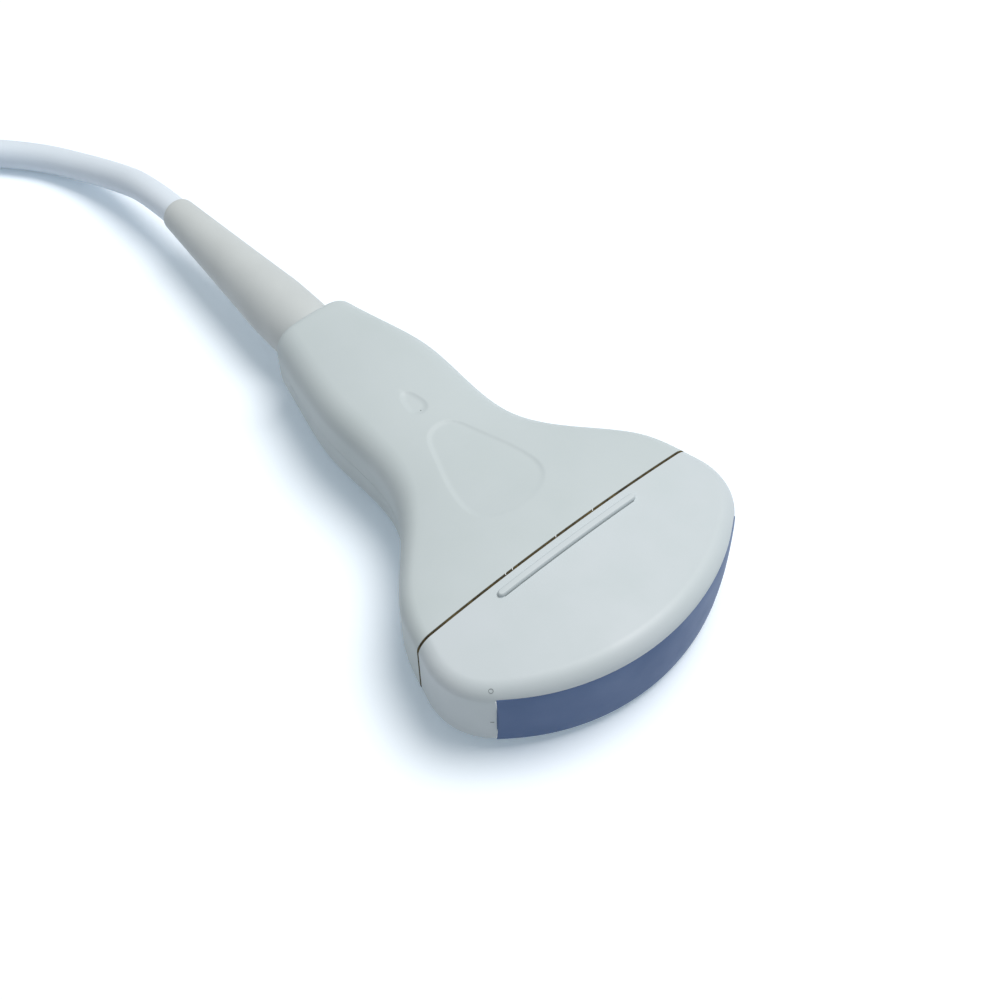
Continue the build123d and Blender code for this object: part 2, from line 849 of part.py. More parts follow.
# Tail from the coil to the plug, and the cable's straight end inside the plug
plug_x, plug_tip_distance, plug_height = tail_points[-1]
plug_tip_y = seam_y + plug_tip_distance
plug_rear_y = plug_tip_y - plug_boot_length
plug_front_y = plug_rear_y - plug_body_length
plug_middle_y = (plug_front_y + plug_rear_y) / 2
plug_rear_plane = across(plug_rear_y, plug_x, plug_height)
cable_stop_y = plug_rear_y - plug_cable_length
with BuildPart() as cable_outer_end:
    with BuildSketch(across(plug_tip_y, plug_x, plug_height)):
        Circle(cable_radius)
    extrude(amount=plug_boot_length + plug_cable_length)
save(cable_outer_end, "cable_outer_end")

with BuildPart() as cord_tail:
    add(tube(tail_points, "tail"))
    add(cable_outer_end.part, mode=Mode.SUBTRACT)
save(cord_tail, "cord_tail")

# Coil: one ring of the turns' outer shape, hollowed where the cable enters it and leaves it
coil_width = 2 * cable_radius * coil_columns
coil_height = 2 * cable_radius * coil_rows
with BuildPart() as coil_ring:
    with BuildSketch(Plane.XZ):
        with Locations((coil_mean_radius, coil_height / 2)):
            RectangleRounded(
                coil_width - 2 * coil_draw_in, coil_height - 2 * coil_draw_in, coil_corner_radius
            )
    revolve(axis=Axis.Z)
coil_ring.part.position = (coil_centre[0], seam_y + coil_centre[1], 0)
with BuildPart() as cord_coil:
    add(coil_ring.part)
    add(cord.part, mode=Mode.SUBTRACT)
    add(cord_tail.part, mode=Mode.SUBTRACT)
save(cord_coil, "cord_coil")

# Plug: two shells round a metal shroud, the contact block, a board and the cable's end
post_places = [
    (plug_x + side * (plug_body_width / 2 - plug_post_inset), y)
    for side in (-1, 1)
    for y in (plug_front_y + plug_front_post_inset, plug_rear_y - plug_post_inset)
]

with BuildPart() as plug_skin:
    with BuildSketch(Plane.XY.offset(plug_height - plug_body_height / 2)):
        with Locations((plug_x, plug_middle_y)):
            RectangleRounded(plug_body_width, plug_body_length, plug_corner)
    extrude(amount=plug_body_height)
    fillet(plug_skin.faces().filter_by(Axis.Z).edges(), plug_edge)
with BuildPart() as plug_cavity:
    with BuildSketch(Plane.XY.offset(plug_height - plug_body_height / 2 + plug_wall)):
        with Locations((plug_x, plug_middle_y)):
            RectangleRounded(
                plug_body_width - 2 * plug_wall, plug_body_length - 2 * plug_wall, plug_corner - plug_wall
            )
    extrude(amount=plug_body_height - 2 * plug_wall)
with BuildPart() as plug_mouth:
    with BuildSketch(across(plug_front_y + plug_wall + 0.5, plug_x, plug_height)):
        RectangleRounded(
            2 * (shroud_half_width + fit_clearance),
            2 * (shroud_half_height + fit_clearance),
            shroud_corner + fit_clearance,
        )
    extrude(amount=plug_wall + 1)
    with BuildSketch(plug_rear_plane.offset(-1)):
        Circle(plug_boot_neck_radius + fit_clearance)
    extrude(amount=plug_wall + 2)


def plug_half(side):
    """One shell of the plug, with its half of the screw posts."""
    with BuildPart() as half:
        add(plug_skin.part)
        add(plug_cavity.part, mode=Mode.SUBTRACT)
        with BuildSketch(Plane.XY.offset(plug_height - plug_body_height / 2 + plug_wall / 2)):
            with Locations(*post_places):
                Circle(plug_post_radius)
        extrude(amount=plug_body_height - plug_wall)
        with BuildSketch(Plane.XY.offset(plug_height)):
            with Locations((plug_x, plug_middle_y)):
                Rectangle(2 * plug_body_width, 2 * plug_body_length)
        extrude(amount=side * plug_body_height, mode=Mode.INTERSECT)
        add(plug_mouth.part, mode=Mode.SUBTRACT)
        with Locations(*[(x, y, plug_height - plug_body_height / 2) for x, y in post_places]):
            Cylinder(
                plug_screw_radius,
                plug_screw_length + plug_screw_recess,
                align=(Align.CENTER, Align.CENTER, Align.MIN),
                mode=Mode.SUBTRACT,
            )
            Cylinder(
                plug_screw_head_radius + fit_clearance,
                plug_screw_recess,
                align=(Align.CENTER, Align.CENTER, Align.MIN),
                mode=Mode.SUBTRACT,
            )
    return half.part


with BuildPart() as plug_upper_shell:
    add(plug_half(1))
save(plug_upper_shell, "plug_upper_shell")

with BuildPart() as plug_lower_shell:
    add(plug_half(-1))
save(plug_lower_shell, "plug_lower_shell")

plug_screw_level = plug_height - plug_body_height / 2 + plug_screw_recess
with BuildPart() as plug_screws:
    with Locations(*[(x, y, plug_screw_level) for x, y in post_places]):
        Cylinder(plug_screw_radius, plug_screw_length, align=(Align.CENTER, Align.CENTER, Align.MIN))
        Cylinder(plug_screw_head_radius, plug_screw_head_height, align=(Align.CENTER, Align.CENTER, Align.MAX))
save(plug_screws, "plug_screws")

# Metal shroud, held by a flange behind the front wall, with the contact block inside it
flange_front_y = plug_front_y + plug_wall
shroud_front_y = plug_front_y - shroud_reach
shroud_rear_y = flange_front_y + shroud_inner_length
with BuildPart() as plug_shroud:
    with BuildSketch(across(shroud_rear_y, plug_x, plug_height)):
        RectangleRounded(2 * shroud_half_width, 2 * shroud_half_height, shroud_corner)
    extrude(amount=shroud_rear_y - shroud_front_y)
    with BuildSketch(across(flange_front_y + shroud_flange_thickness, plug_x, plug_height)):
        Rectangle(
            2 * (shroud_half_width + shroud_flange), 2 * (shroud_half_height + shroud_flange)
        )
    extrude(amount=shroud_flange_thickness)
    with BuildSketch(across(shroud_rear_y + 1, plug_x, plug_height)):
        RectangleRounded(
            2 * (shroud_half_width - shroud_wall),
            2 * (shroud_half_height - shroud_wall),
            shroud_corner - shroud_wall,
        )
    extrude(amount=shroud_rear_y - shroud_front_y + 2, mode=Mode.SUBTRACT)
save(plug_shroud, "plug_shroud")

block_rear_y = shroud_rear_y
block_front_y = block_rear_y - block_length
row_offset = (plug_board_thickness + contact_size) / 2
with BuildPart() as plug_contacts:
    with BuildSketch(across(block_rear_y + contact_tail, plug_x, plug_height)):
        with Locations((0, row_offset), (0, -row_offset)):
            with GridLocations(contact_pitch, 0, contacts_in_row, 1):
                Rectangle(contact_size, contact_size)
    extrude(amount=contact_tail + block_length + contact_reach)
save(plug_contacts, "plug_contacts")

with BuildPart() as contact_block:
    with BuildSketch(across(block_rear_y, plug_x, plug_height)):
        Rectangle(
            2 * (shroud_half_width - shroud_wall - fit_clearance),
            2 * (shroud_half_height - shroud_wall - fit_clearance),
        )
    extrude(amount=block_length)
    chamfer(contact_block.edges().filter_by(Axis.Y), block_chamfer)
    add(plug_contacts.part, mode=Mode.SUBTRACT)
save(contact_block, "contact_block")

board_end_y = block_rear_y + plug_board_length
with BuildPart() as plug_board:
    with BuildSketch(Plane.XY.offset(plug_height - plug_board_thickness / 2)):
        with Locations((plug_x, (block_rear_y + board_end_y) / 2)):
            Rectangle(2 * plug_board_half_width, plug_board_length)
    extrude(amount=plug_board_thickness)
save(plug_board, "plug_board")

# Clamp on the cable's far end, and the wires from it to the board
with BuildPart() as plug_clamp:
    with BuildSketch(across(cable_stop_y + plug_clamp_set_back + plug_clamp_length, plug_x, plug_height)):
        Circle(cable_bore + plug_clamp_wall)
        Circle(cable_bore, mode=Mode.SUBTRACT)
    extrude(amount=plug_clamp_length)
save(plug_clamp, "plug_clamp")

with BuildPart() as plug_wires:
    with BuildSketch(across(cable_stop_y, plug_x, plug_height)):
        Circle(cable_radius - jacket_thickness)
    with BuildSketch(across(board_end_y, plug_x, plug_height)):
        Rectangle(plug_wires_width, plug_wires_height)
    loft()
save(plug_wires, "plug_wires")

with BuildPart() as plug_boot:
    add(
        boot_form(
            plug_rear_plane,
            [
                (plug_wall + plug_boot_flange_length, plug_boot_flange_radius),
                (plug_wall, plug_boot_flange_radius),
                (plug_wall, plug_boot_neck_radius),
                (0, plug_boot_neck_radius),
                (0, plug_boot_radius),
                (-plug_boot_length, plug_boot_tip_radius),
            ],
            cable_bore,
            boot_tip_round,
        )
    )
save(plug_boot, "plug_boot")
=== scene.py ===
"""Looks of a convex ultrasound probe lying on its back, with its cable coiled away and its plug."""

from __future__ import annotations

import logging
import math
from collections.abc import Callable
from dataclasses import dataclass, field
from enum import Enum

import bpy
from bpy.types import Material, Node, NodeSocket, NodeTree, Object
from mathutils import Matrix, Vector


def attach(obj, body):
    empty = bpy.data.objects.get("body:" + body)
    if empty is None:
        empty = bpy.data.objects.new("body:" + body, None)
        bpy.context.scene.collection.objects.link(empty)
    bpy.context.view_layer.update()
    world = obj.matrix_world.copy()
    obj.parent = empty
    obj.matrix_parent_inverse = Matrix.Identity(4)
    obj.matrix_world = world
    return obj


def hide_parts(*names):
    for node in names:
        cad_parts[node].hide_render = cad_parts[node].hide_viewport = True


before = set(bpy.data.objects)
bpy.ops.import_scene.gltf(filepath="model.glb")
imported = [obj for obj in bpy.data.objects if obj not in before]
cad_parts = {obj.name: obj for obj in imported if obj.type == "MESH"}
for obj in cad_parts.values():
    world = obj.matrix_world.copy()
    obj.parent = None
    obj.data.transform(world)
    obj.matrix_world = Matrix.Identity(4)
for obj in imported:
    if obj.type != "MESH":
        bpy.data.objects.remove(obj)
LOG = logging.getLogger("probe")
Pair = tuple[float, float]
Spot = tuple[float, float, float]
Colour = tuple[float, float, float, float]
MM = 0.001
# Millimetres: the seam and the centre of the array's arc along the probe, and the middle's height.
SEAM_Y = -51.1
ARRAY_Y = -29.9
MIDDLE = 11.6
# Degrees from the middle line, and millimetres that the nose's front arc lies further back there.
FRONT_PULL = ((34.0, 0.52), (52.0, 0.0))
# Metres within which doubled points are merged.
MERGE = 1e-7
# The noise's values over which the mottling and the gloss change, and how far the gloss changes.
MOTTLE_BAND = (0.35, 0.72)
GLOSS_BAND = (0.3, 0.7)
GLOSS_CHANGE = (-0.05, 0.06)


def linear(code: str) -> Colour:
    """Turn an sRGB hex colour into linear values.

    Args:
        code: six hex digits after a #.

    Returns:
        Red, green, blue and a full alpha.
    """
    parts = [int(code[i : i + 2], 16) / 255 for i in (1, 3, 5)]
    values = [p / 12.92 if p <= 0.04045 else ((p + 0.055) / 1.055) ** 2.4 for p in parts]
    return (values[0], values[1], values[2], 1.0)


def add_node(tree: NodeTree, kind: str, links: dict | None = None, **settings) -> Node:
    """Add a node with its settings and links.

    Args:
        tree: the node tree it goes in.
        kind: the node's type name.
        links: input name or number, to an output socket or a plain value.
        settings: attributes of the node.

    Returns:
        The new node.
    """
    node = tree.nodes.new(kind)
    for name, value in settings.items():
        setattr(node, name, value)
    for key, source in (links or {}).items():
        if isinstance(source, NodeSocket):
            tree.links.new(source, node.inputs[key])
        else:
            node.inputs[key].default_value = source
    return node


def blank_material(name: str) -> tuple[Material, NodeTree]:
    """Make an empty node material.

    Args:
        name: the material's name.

    Returns:
        The material and its node tree.
    """
    material = bpy.data.materials.new(name)
    material.use_nodes = True
    material.node_tree.nodes.clear()
    return material, material.node_tree


def dress(piece: Object, material: Material) -> None:
    """Give a piece one material all over.

    Args:
        piece: the object to dress.
        material: its finish.
    """
    piece.data.materials.clear()
    piece.data.materials.append(material)


def link_in(piece: Object) -> Object:
    """Put a piece in the scene as the active and only selected object.

    Args:
        piece: the new object.

    Returns:
        The same object.
    """
    bpy.context.scene.collection.objects.link(piece)
    bpy.ops.object.select_all(action="DESELECT")
    piece.select_set(True)
    bpy.context.view_layer.objects.active = piece
    return piece


def mesh_piece(name: str, places: list, edges: list, faces: list) -> Object:
    """Make a piece from given points, for shapes that no operator starts.

    Args:
        name: the piece's name.
        places: points in metres.
        edges: pairs of point numbers.
        faces: rows of point numbers.

    Returns:
        The new piece, active.
    """
    mesh = bpy.data.meshes.new(name)
    mesh.from_pydata(places, edges, faces)
    return link_in(bpy.data.objects.new(name, mesh))


def edit_whole(operator: Callable, **settings) -> None:
    """Run one mesh operator on everything in the active piece.

    Args:
        operator: the operator of bpy.ops.mesh.
        settings: what it is told.
    """
    bpy.ops.object.mode_set(mode="EDIT")
    bpy.ops.mesh.select_all(action="SELECT")
    operator(**settings)
    bpy.ops.object.mode_set(mode="OBJECT")


@dataclass(frozen=True)
class MouldedFinish:
    """A moulded plastic, rubber or silicone, with its grain, its faint mottling and its soiling."""

    name: str
    colour: str
    mottle: str
    roughness: float
    ior: float = 1.46
    mottle_mm: float = 9.0
    mottle_share: float = 0.5
    grain_mm: float = 0.35
    grain_height_mm: float = 0.004
    sheen: float = 0.0

    def build(self) -> Material:
        """Make the material.

        Returns:
            The finished material.
        """
        material, tree = blank_material(self.name)
        place = add_node(tree, "ShaderNodeTexCoord").outputs["Object"]
        patches = add_node(
            tree,
            "ShaderNodeTexNoise",
            {"Vector": place, "Scale": 1 / (self.mottle_mm * MM), "Detail": 4.0, "Roughness": 0.55},
        )
        low, high = MOTTLE_BAND
        spread = add_node(
            tree,
            "ShaderNodeMapRange",
            {"Value": patches.outputs["Fac"], 1: low, 2: high, 3: 0.0, 4: self.mottle_share},
        )
        tone = add_node(
            tree,
            "ShaderNodeMix",
            {0: spread.outputs[0], 6: linear(self.colour), 7: linear(self.mottle)},
            data_type="RGBA",
        )
        grain = add_node(
            tree,
            "ShaderNodeTexNoise",
            {"Vector": place, "Scale": 1 / (self.grain_mm * MM), "Detail": 3.0, "Roughness": 0.6},
        )
        bump = add_node(
            tree,
            "ShaderNodeBump",
            {"Height": grain.outputs["Fac"], "Distance": self.grain_height_mm * MM},
        )
        low, high = GLOSS_BAND
        glossy, dull = (self.roughness + change for change in GLOSS_CHANGE)
        rough = add_node(
            tree,
            "ShaderNodeMapRange",
            {"Value": patches.outputs["Fac"], 1: low, 2: high, 3: glossy, 4: dull},
        )
        shader = add_node(
            tree,
            "ShaderNodeBsdfPrincipled",
            {
                "Base Color": tone.outputs[2],
                "Roughness": rough.outputs[0],
                "Normal": bump.outputs["Normal"],
                "IOR": self.ior,
                "Sheen Weight": self.sheen,
            },
        )
        add_node(tree, "ShaderNodeOutputMaterial", {"Surface": shader.outputs[0]})
        return material


@dataclass(frozen=True)
class MetalFinish:
    """A bare metal with fine drawn or machined lines."""

    name: str
    colour: str
    roughness: float
    line_mm: float = 0.12
    line_stretch: float = 0.05
    line_depth_mm: float = 0.003
    gloss_change: Pair = (-0.08, 0.1)

    def build(self) -> Material:
        """Make the material.

        Returns:
            The finished material.
        """
        material, tree = blank_material(self.name)
        place = add_node(tree, "ShaderNodeTexCoord").outputs["Object"]
        drawn = add_node(
            tree, "ShaderNodeMapping", {"Vector": place, "Scale": (1.0, self.line_stretch, 1.0)}
        )
        lines = add_node(
            tree,
            "ShaderNodeTexNoise",
            {"Vector": drawn.outputs[0], "Scale": 1 / (self.line_mm * MM), "Detail": 2.0},
        )
        glossy, dull = (self.roughness + change for change in self.gloss_change)
        rough = add_node(
            tree, "ShaderNodeMapRange", {"Value": lines.outputs["Fac"], 3: glossy, 4: dull}
        )
        bump = add_node(
            tree,
            "ShaderNodeBump",
            {"Height": lines.outputs["Fac"], "Distance": self.line_depth_mm * MM},
        )
        shader = add_node(
            tree,
            "ShaderNodeBsdfPrincipled",
            {
                "Base Color": linear(self.colour),
                "Metallic": 1.0,
                "Roughness": rough.outputs[0],
                "Normal": bump.outputs["Normal"],
            },
        )
        add_node(tree, "ShaderNodeOutputMaterial", {"Surface": shader.outputs[0]})
        return material


# Satin injection-moulded blend, cool light grey: a soft broad gloss and hardly any texture.
HOUSING = MouldedFinish(
    "satin_moulded_housing", "#cad3d8", "#c4cfd2", 0.5, 1.46, 14.0, 0.6, 0.3, 0.002
)
# The same moulding compound on the handle's halves, painted a shade greyer as painted shade, where
# the light falls off along the handle.
HANDLE_SHADED = MouldedFinish(
    "satin_moulded_handle_shaded", "#c5cfd2", "#bfcacc", 0.5, 1.46, 14.0, 0.6, 0.3, 0.002
)
# Cast silicone with filler, blue-grey: smooth, slightly glossy and a little milky.
LENS = MouldedFinish("cast_silicone_lens", "#466391", "#425d88", 0.5, 1.42, 12.0, 0.6, 0.5, 0.002)
# Soft moulded elastomer, warm grey: dull, with a faint bloom.
BOOT = MouldedFinish(
    "soft_elastomer_boot", "#cad0d1", "#c4cacb", 0.55, 1.5, 8.0, 0.7, 0.25, 0.006, 0.1
)
# Extruded soft jacket, pale bluish white: smooth with a broad soft shine.
JACKET = MouldedFinish(
    "extruded_soft_jacket", "#e0eaf4", "#dae4ee", 0.45, 1.5, 20.0, 0.5, 0.4, 0.003
)
# Old silicone gasket full of grime: dark brown and dull.
GASKET = MouldedFinish("grimy_silicone_gasket", "#2b2410", "#5c4f2c", 0.8, 1.4, 1.4, 1.0, 0.2, 0.02)
# Dull dark grey: painted shade in the rib's front corner, and the colour of the small moulded
# marks.
CORNER_SHADE_AND_MARKS = MouldedFinish("corner_shade_and_marks", "#7b8486", "#8f989a", 0.7, 1.4, 0.5)
# Painted highlight: near white and shinier, for the light caught by the housing's edges at the
# lens's ends and the boot's joint; the pale specks in the seam share it.
PALE_HIGHLIGHT_AND_SPECKS = MouldedFinish("pale_edge_highlight_and_specks", "#f2f6f8", "#e6edf1", 0.35, 1.45, 0.5)


class CordLay(Enum):
    """How a stretch of the cable's row of turns runs."""

    INWARD = -1
    OUTWARD = 1


@dataclass
class CableRoute:
    """The cable's centreline from the boot to the plug, in millimetres behind the seam."""

    radius: float = 3.4
    free_points: tuple[Spot, ...] = (
        (0.0, 131.0, 11.6), (-0.3, 143.0, 10.9), (-2.0, 154.5, 7.6), (-4.9, 165.3, 4.8),
        (-10.0, 176.5, 3.4), (-18.6, 186.2, 3.4), (-30.2, 198.1, 3.4),
    )
    tail_points: tuple[Spot, ...] = ((-94.0, 180.5, 29.4), (-94.0, 176.2, 29.4))
    coil_centre: Pair = (-69.3, 182.8)
    mean_radius: float = 31.5
    entry_degrees: float = 44.9
    tail_steps: int = 5
    tail_rise: float = 5.4
    points_a_turn: int = 14
    shift_from: float = 0.42
    swell_share: float = 0.32
    rows: tuple[CordLay, ...] = (CordLay.INWARD, CordLay.OUTWARD, CordLay.INWARD)
    turns_in_row: tuple[int, ...] = (3, 3, 3)

    def coil_points(self) -> list[Spot]:
        """Work out the coil's turns, row by row.

        Returns:
            Control points of the coiled stretch.
        """
        pitch = 2 * self.radius
        places: list[tuple[float, float, int]] = []
        for row, (lay, turns) in enumerate(zip(self.rows, self.turns_in_row)):
            for turn in range(turns):
                radius = self.mean_radius - lay.value * pitch * (1 - turn)
                places.append((radius, self.radius + row * pitch, lay.value))
        places.append((places[-1][0], places[-1][1] + pitch, 0))
        spread = 1 / math.cos(math.pi / self.points_a_turn)
        start = math.radians(self.entry_degrees)
        x, y = self.coil_centre
        points = []
        coiled = (len(places) - 1) * self.points_a_turn
        places.append(places[-1])
        for step in range(coiled + self.tail_steps):
            turn, share = divmod(step / self.points_a_turn, 1)
            here = places[int(turn)]
            following = places[int(turn) + 1]
            ease = max(0.0, (share - self.shift_from) / (1 - self.shift_from))
            swell = math.sin(math.pi * ease) ** 2 if following[1] > here[1] else 0.0
            ease = ease * ease * (3 - 2 * ease)
            radius = here[0] + (following[0] - here[0]) * ease
            radius = (radius + here[2] * self.swell_share * pitch * swell) * spread
            height = here[1] + (following[1] - here[1]) * ease
            height += self.tail_rise * max(0.0, (step - coiled + 1) / (self.tail_steps + 1))
            angle = start + 2 * math.pi * (step + 0.5) / self.points_a_turn
            points.append((x + radius * math.cos(angle), y + radius * math.sin(angle), height))
        return points

    def metres(self) -> list[Vector]:
        """Give the whole route in the frame's metres.

        Returns:
            Control points from the boot's tip to the plug.
        """
        route = list(self.free_points) + self.coil_points() + list(self.tail_points)
        return [Vector((x * MM, (y + SEAM_Y) * MM, z * MM)) for x, y, z in route]


@dataclass
class Cable:
    """The free cable, its straight ends and the finish they share."""

    route: CableRoute = field(default_factory=CableRoute)
    length: float = 1.92
    nodes: tuple[str, ...] = ("cord", "cord_coil", "cord_tail")
    ends: tuple[str, ...] = ("cable_inner_end", "cable_outer_end")
    carried: tuple[str, ...] = (
        "cable_outer_end", "plug_boot", "plug_upper_shell", "plug_lower_shell",
        "plug_shroud", "contact_block", "plug_contacts", "plug_board", "plug_wires",
        "plug_clamp", "plug_screws",
    )

    def build(self) -> None:
        points = self.route.metres()
        curve = bpy.data.curves.new("free_cable", "CURVE")
        curve.dimensions = "3D"
        curve.bevel_depth = self.route.radius * MM
        curve.bevel_resolution = 6
        curve.resolution_u = 6
        curve.use_fill_caps = True
        spline = curve.splines.new("NURBS")
        spline.points.add(len(points) - 1)
        for spot, place in zip(spline.points, points):
            spot.co = (place.x, place.y, place.z, 1.0)
        spline.order_u = 3
        spline.use_endpoint_u = True
        cable = link_in(bpy.data.objects.new("free_cable", curve))
        jacket = JACKET.build()
        dress(cable, jacket)
        for name in self.ends:
            dress(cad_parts[name], jacket)
        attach(cable, "root")
        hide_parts(*self.nodes)
        LOG.info("cable laid with %d points", len(points))


@dataclass
class SideLine:
    """Smooth curve of the handle's half width along its length, level with the traced sides."""

    points: tuple[Pair, ...] = (
        (-6.0, 36.74), (0.0, 35.0), (9.7, 31.5), (19.3, 23.8), (29.0, 16.9),
        (37.0, 14.85), (56.4, 14.45), (67.7, 12.4), (79.2, 9.75),
    )
    front_slope: float = -0.29
    rear_slope: float = -0.24
    slopes: list[float] = field(default_factory=list)

    def __post_init__(self) -> None:
        """Solve the curve's slope at each point for an even bend."""
        count = len(self.points)
        upper = [0.0] * count
        value = [self.front_slope] + [0.0] * (count - 1)
        for i in range(1, count - 1):
            before = self.points[i][0] - self.points[i - 1][0]
            after = self.points[i + 1][0] - self.points[i][0]
            rise_before = (self.points[i][1] - self.points[i - 1][1]) / before
            rise_after = (self.points[i + 1][1] - self.points[i][1]) / after
            middle = 2 * (1 / before + 1 / after) - upper[i - 1] / before
            upper[i] = 1 / after / middle
            bend = 3 * (rise_before / before + rise_after / after)
            value[i] = (bend - value[i - 1] / before) / middle
        self.slopes = [0.0] * count
        self.slopes[-1] = self.rear_slope
        for i in range(count - 2, 0, -1):
            self.slopes[i] = value[i] - upper[i] * self.slopes[i + 1]
        self.slopes[0] = self.front_slope

    def half_width(self, distance: float) -> float:
        """Give the half width at a distance behind the seam.

        Args:
            distance: millimetres behind the seam.

        Returns:
            Half width in millimetres.
        """
        i = sum(distance > point[0] for point in self.points[1:-1])
        start, end = self.points[i], self.points[i + 1]
        run = end[0] - start[0]
        t = (distance - start[0]) / run
        return (
            (2 * t**3 - 3 * t**2 + 1) * start[1]
            + (t**3 - 2 * t**2 + t) * run * self.slopes[i]
            + (3 * t**2 - 2 * t**3) * end[1]
            + (t**3 - t**2) * run * self.slopes[i + 1]
        )


def eased(position: float, knots: tuple[Pair, ...]) -> float:
    """Follow a smooth curve that is level at each knot.

    Args:
        position: where to read it.
        knots: position and value pairs.

    Returns:
        The value there.
    """
    if position <= knots[0][0]:
        return knots[0][1]
    for (start, low), (end, high) in zip(knots, knots[1:]):
        if position <= end:
            turn = math.pi * (position - start) / (end - start)
            return low + (high - low) * (1 - math.cos(turn)) / 2
    return knots[-1][1]


@dataclass(frozen=True)
class Dish:
    """A shallow moulded dish in the top, with a crisp rim that fades towards its front."""

    outline: tuple[Pair, ...]
    depth: float
    slope_width: float
    fade: Pair

    def ring(self) -> list[Pair]:
        """Mirror the half outline into a closed one.

        Returns:
            Points of distance across and behind the seam.
        """
        inner = [point for point in self.outline if point[0] > 0]
        return list(self.outline) + [(-x, y) for x, y in reversed(inner)]

    def sink(self, ring: list[Pair], x: float, y: float) -> float:
        """Work out how far the dish sinks at a place.

        Args:
            ring: the closed outline.
            x: millimetres across.
            y: millimetres behind the seam.

        Returns:
            Depth in millimetres.
        """
        inside = False
        nearest = math.inf
        for (x1, y1), (x2, y2) in zip(ring, ring[1:] + ring[:1]):
            if (y1 > y) != (y2 > y) and x < (x2 - x1) * (y - y1) / (y2 - y1) + x1:
                inside = not inside
            run = (x2 - x1) ** 2 + (y2 - y1) ** 2
            along = ((x - x1) * (x2 - x1) + (y - y1) * (y2 - y1)) / run
            share = max(0.0, min(1.0, along))
            away = math.hypot(x - x1 - share * (x2 - x1), y - y1 - share * (y2 - y1))
            nearest = min(nearest, away)
        if not inside:
            return 0.0
        share = min(nearest / self.slope_width, 1.0)
        strength = eased(y, ((self.fade[0], 0.0), (self.fade[1], 1.0)))
        return self.depth * (1 - (1 - share) ** 2) * strength


# The rounded rest for the thumb: half its outline, across and behind the seam.
THUMB_DISH = Dish(
    outline=(
        (0.0, 9.8), (2.8, 10.1), (5.3, 10.9), (7.2, 12.0), (8.5, 13.5), (9.2, 15.2),
        (9.4, 17.2), (9.05, 20.0), (8.2, 23.5), (7.0, 26.9), (5.7, 30.4), (4.75, 33.0),
        (4.1, 34.4), (3.2, 35.5), (2.0, 36.25), (0.9, 36.55), (0.0, 36.6),
    ),
    depth=0.27,
    slope_width=1.1,
    fade=(8.0, 17.0),
)
# The small egg-shaped finger mark behind it.
FINGER_MARK = Dish(
    outline=(
        (0.0, 40.4), (0.9, 40.6), (1.65, 41.2), (2.15, 42.1), (2.2, 43.1), (2.0, 44.4),
        (1.65, 45.7), (1.2, 46.6), (0.6, 47.2), (0.0, 47.4),
    ),
    depth=0.3,
    slope_width=1.3,
    fade=(39.0, 41.5),
)


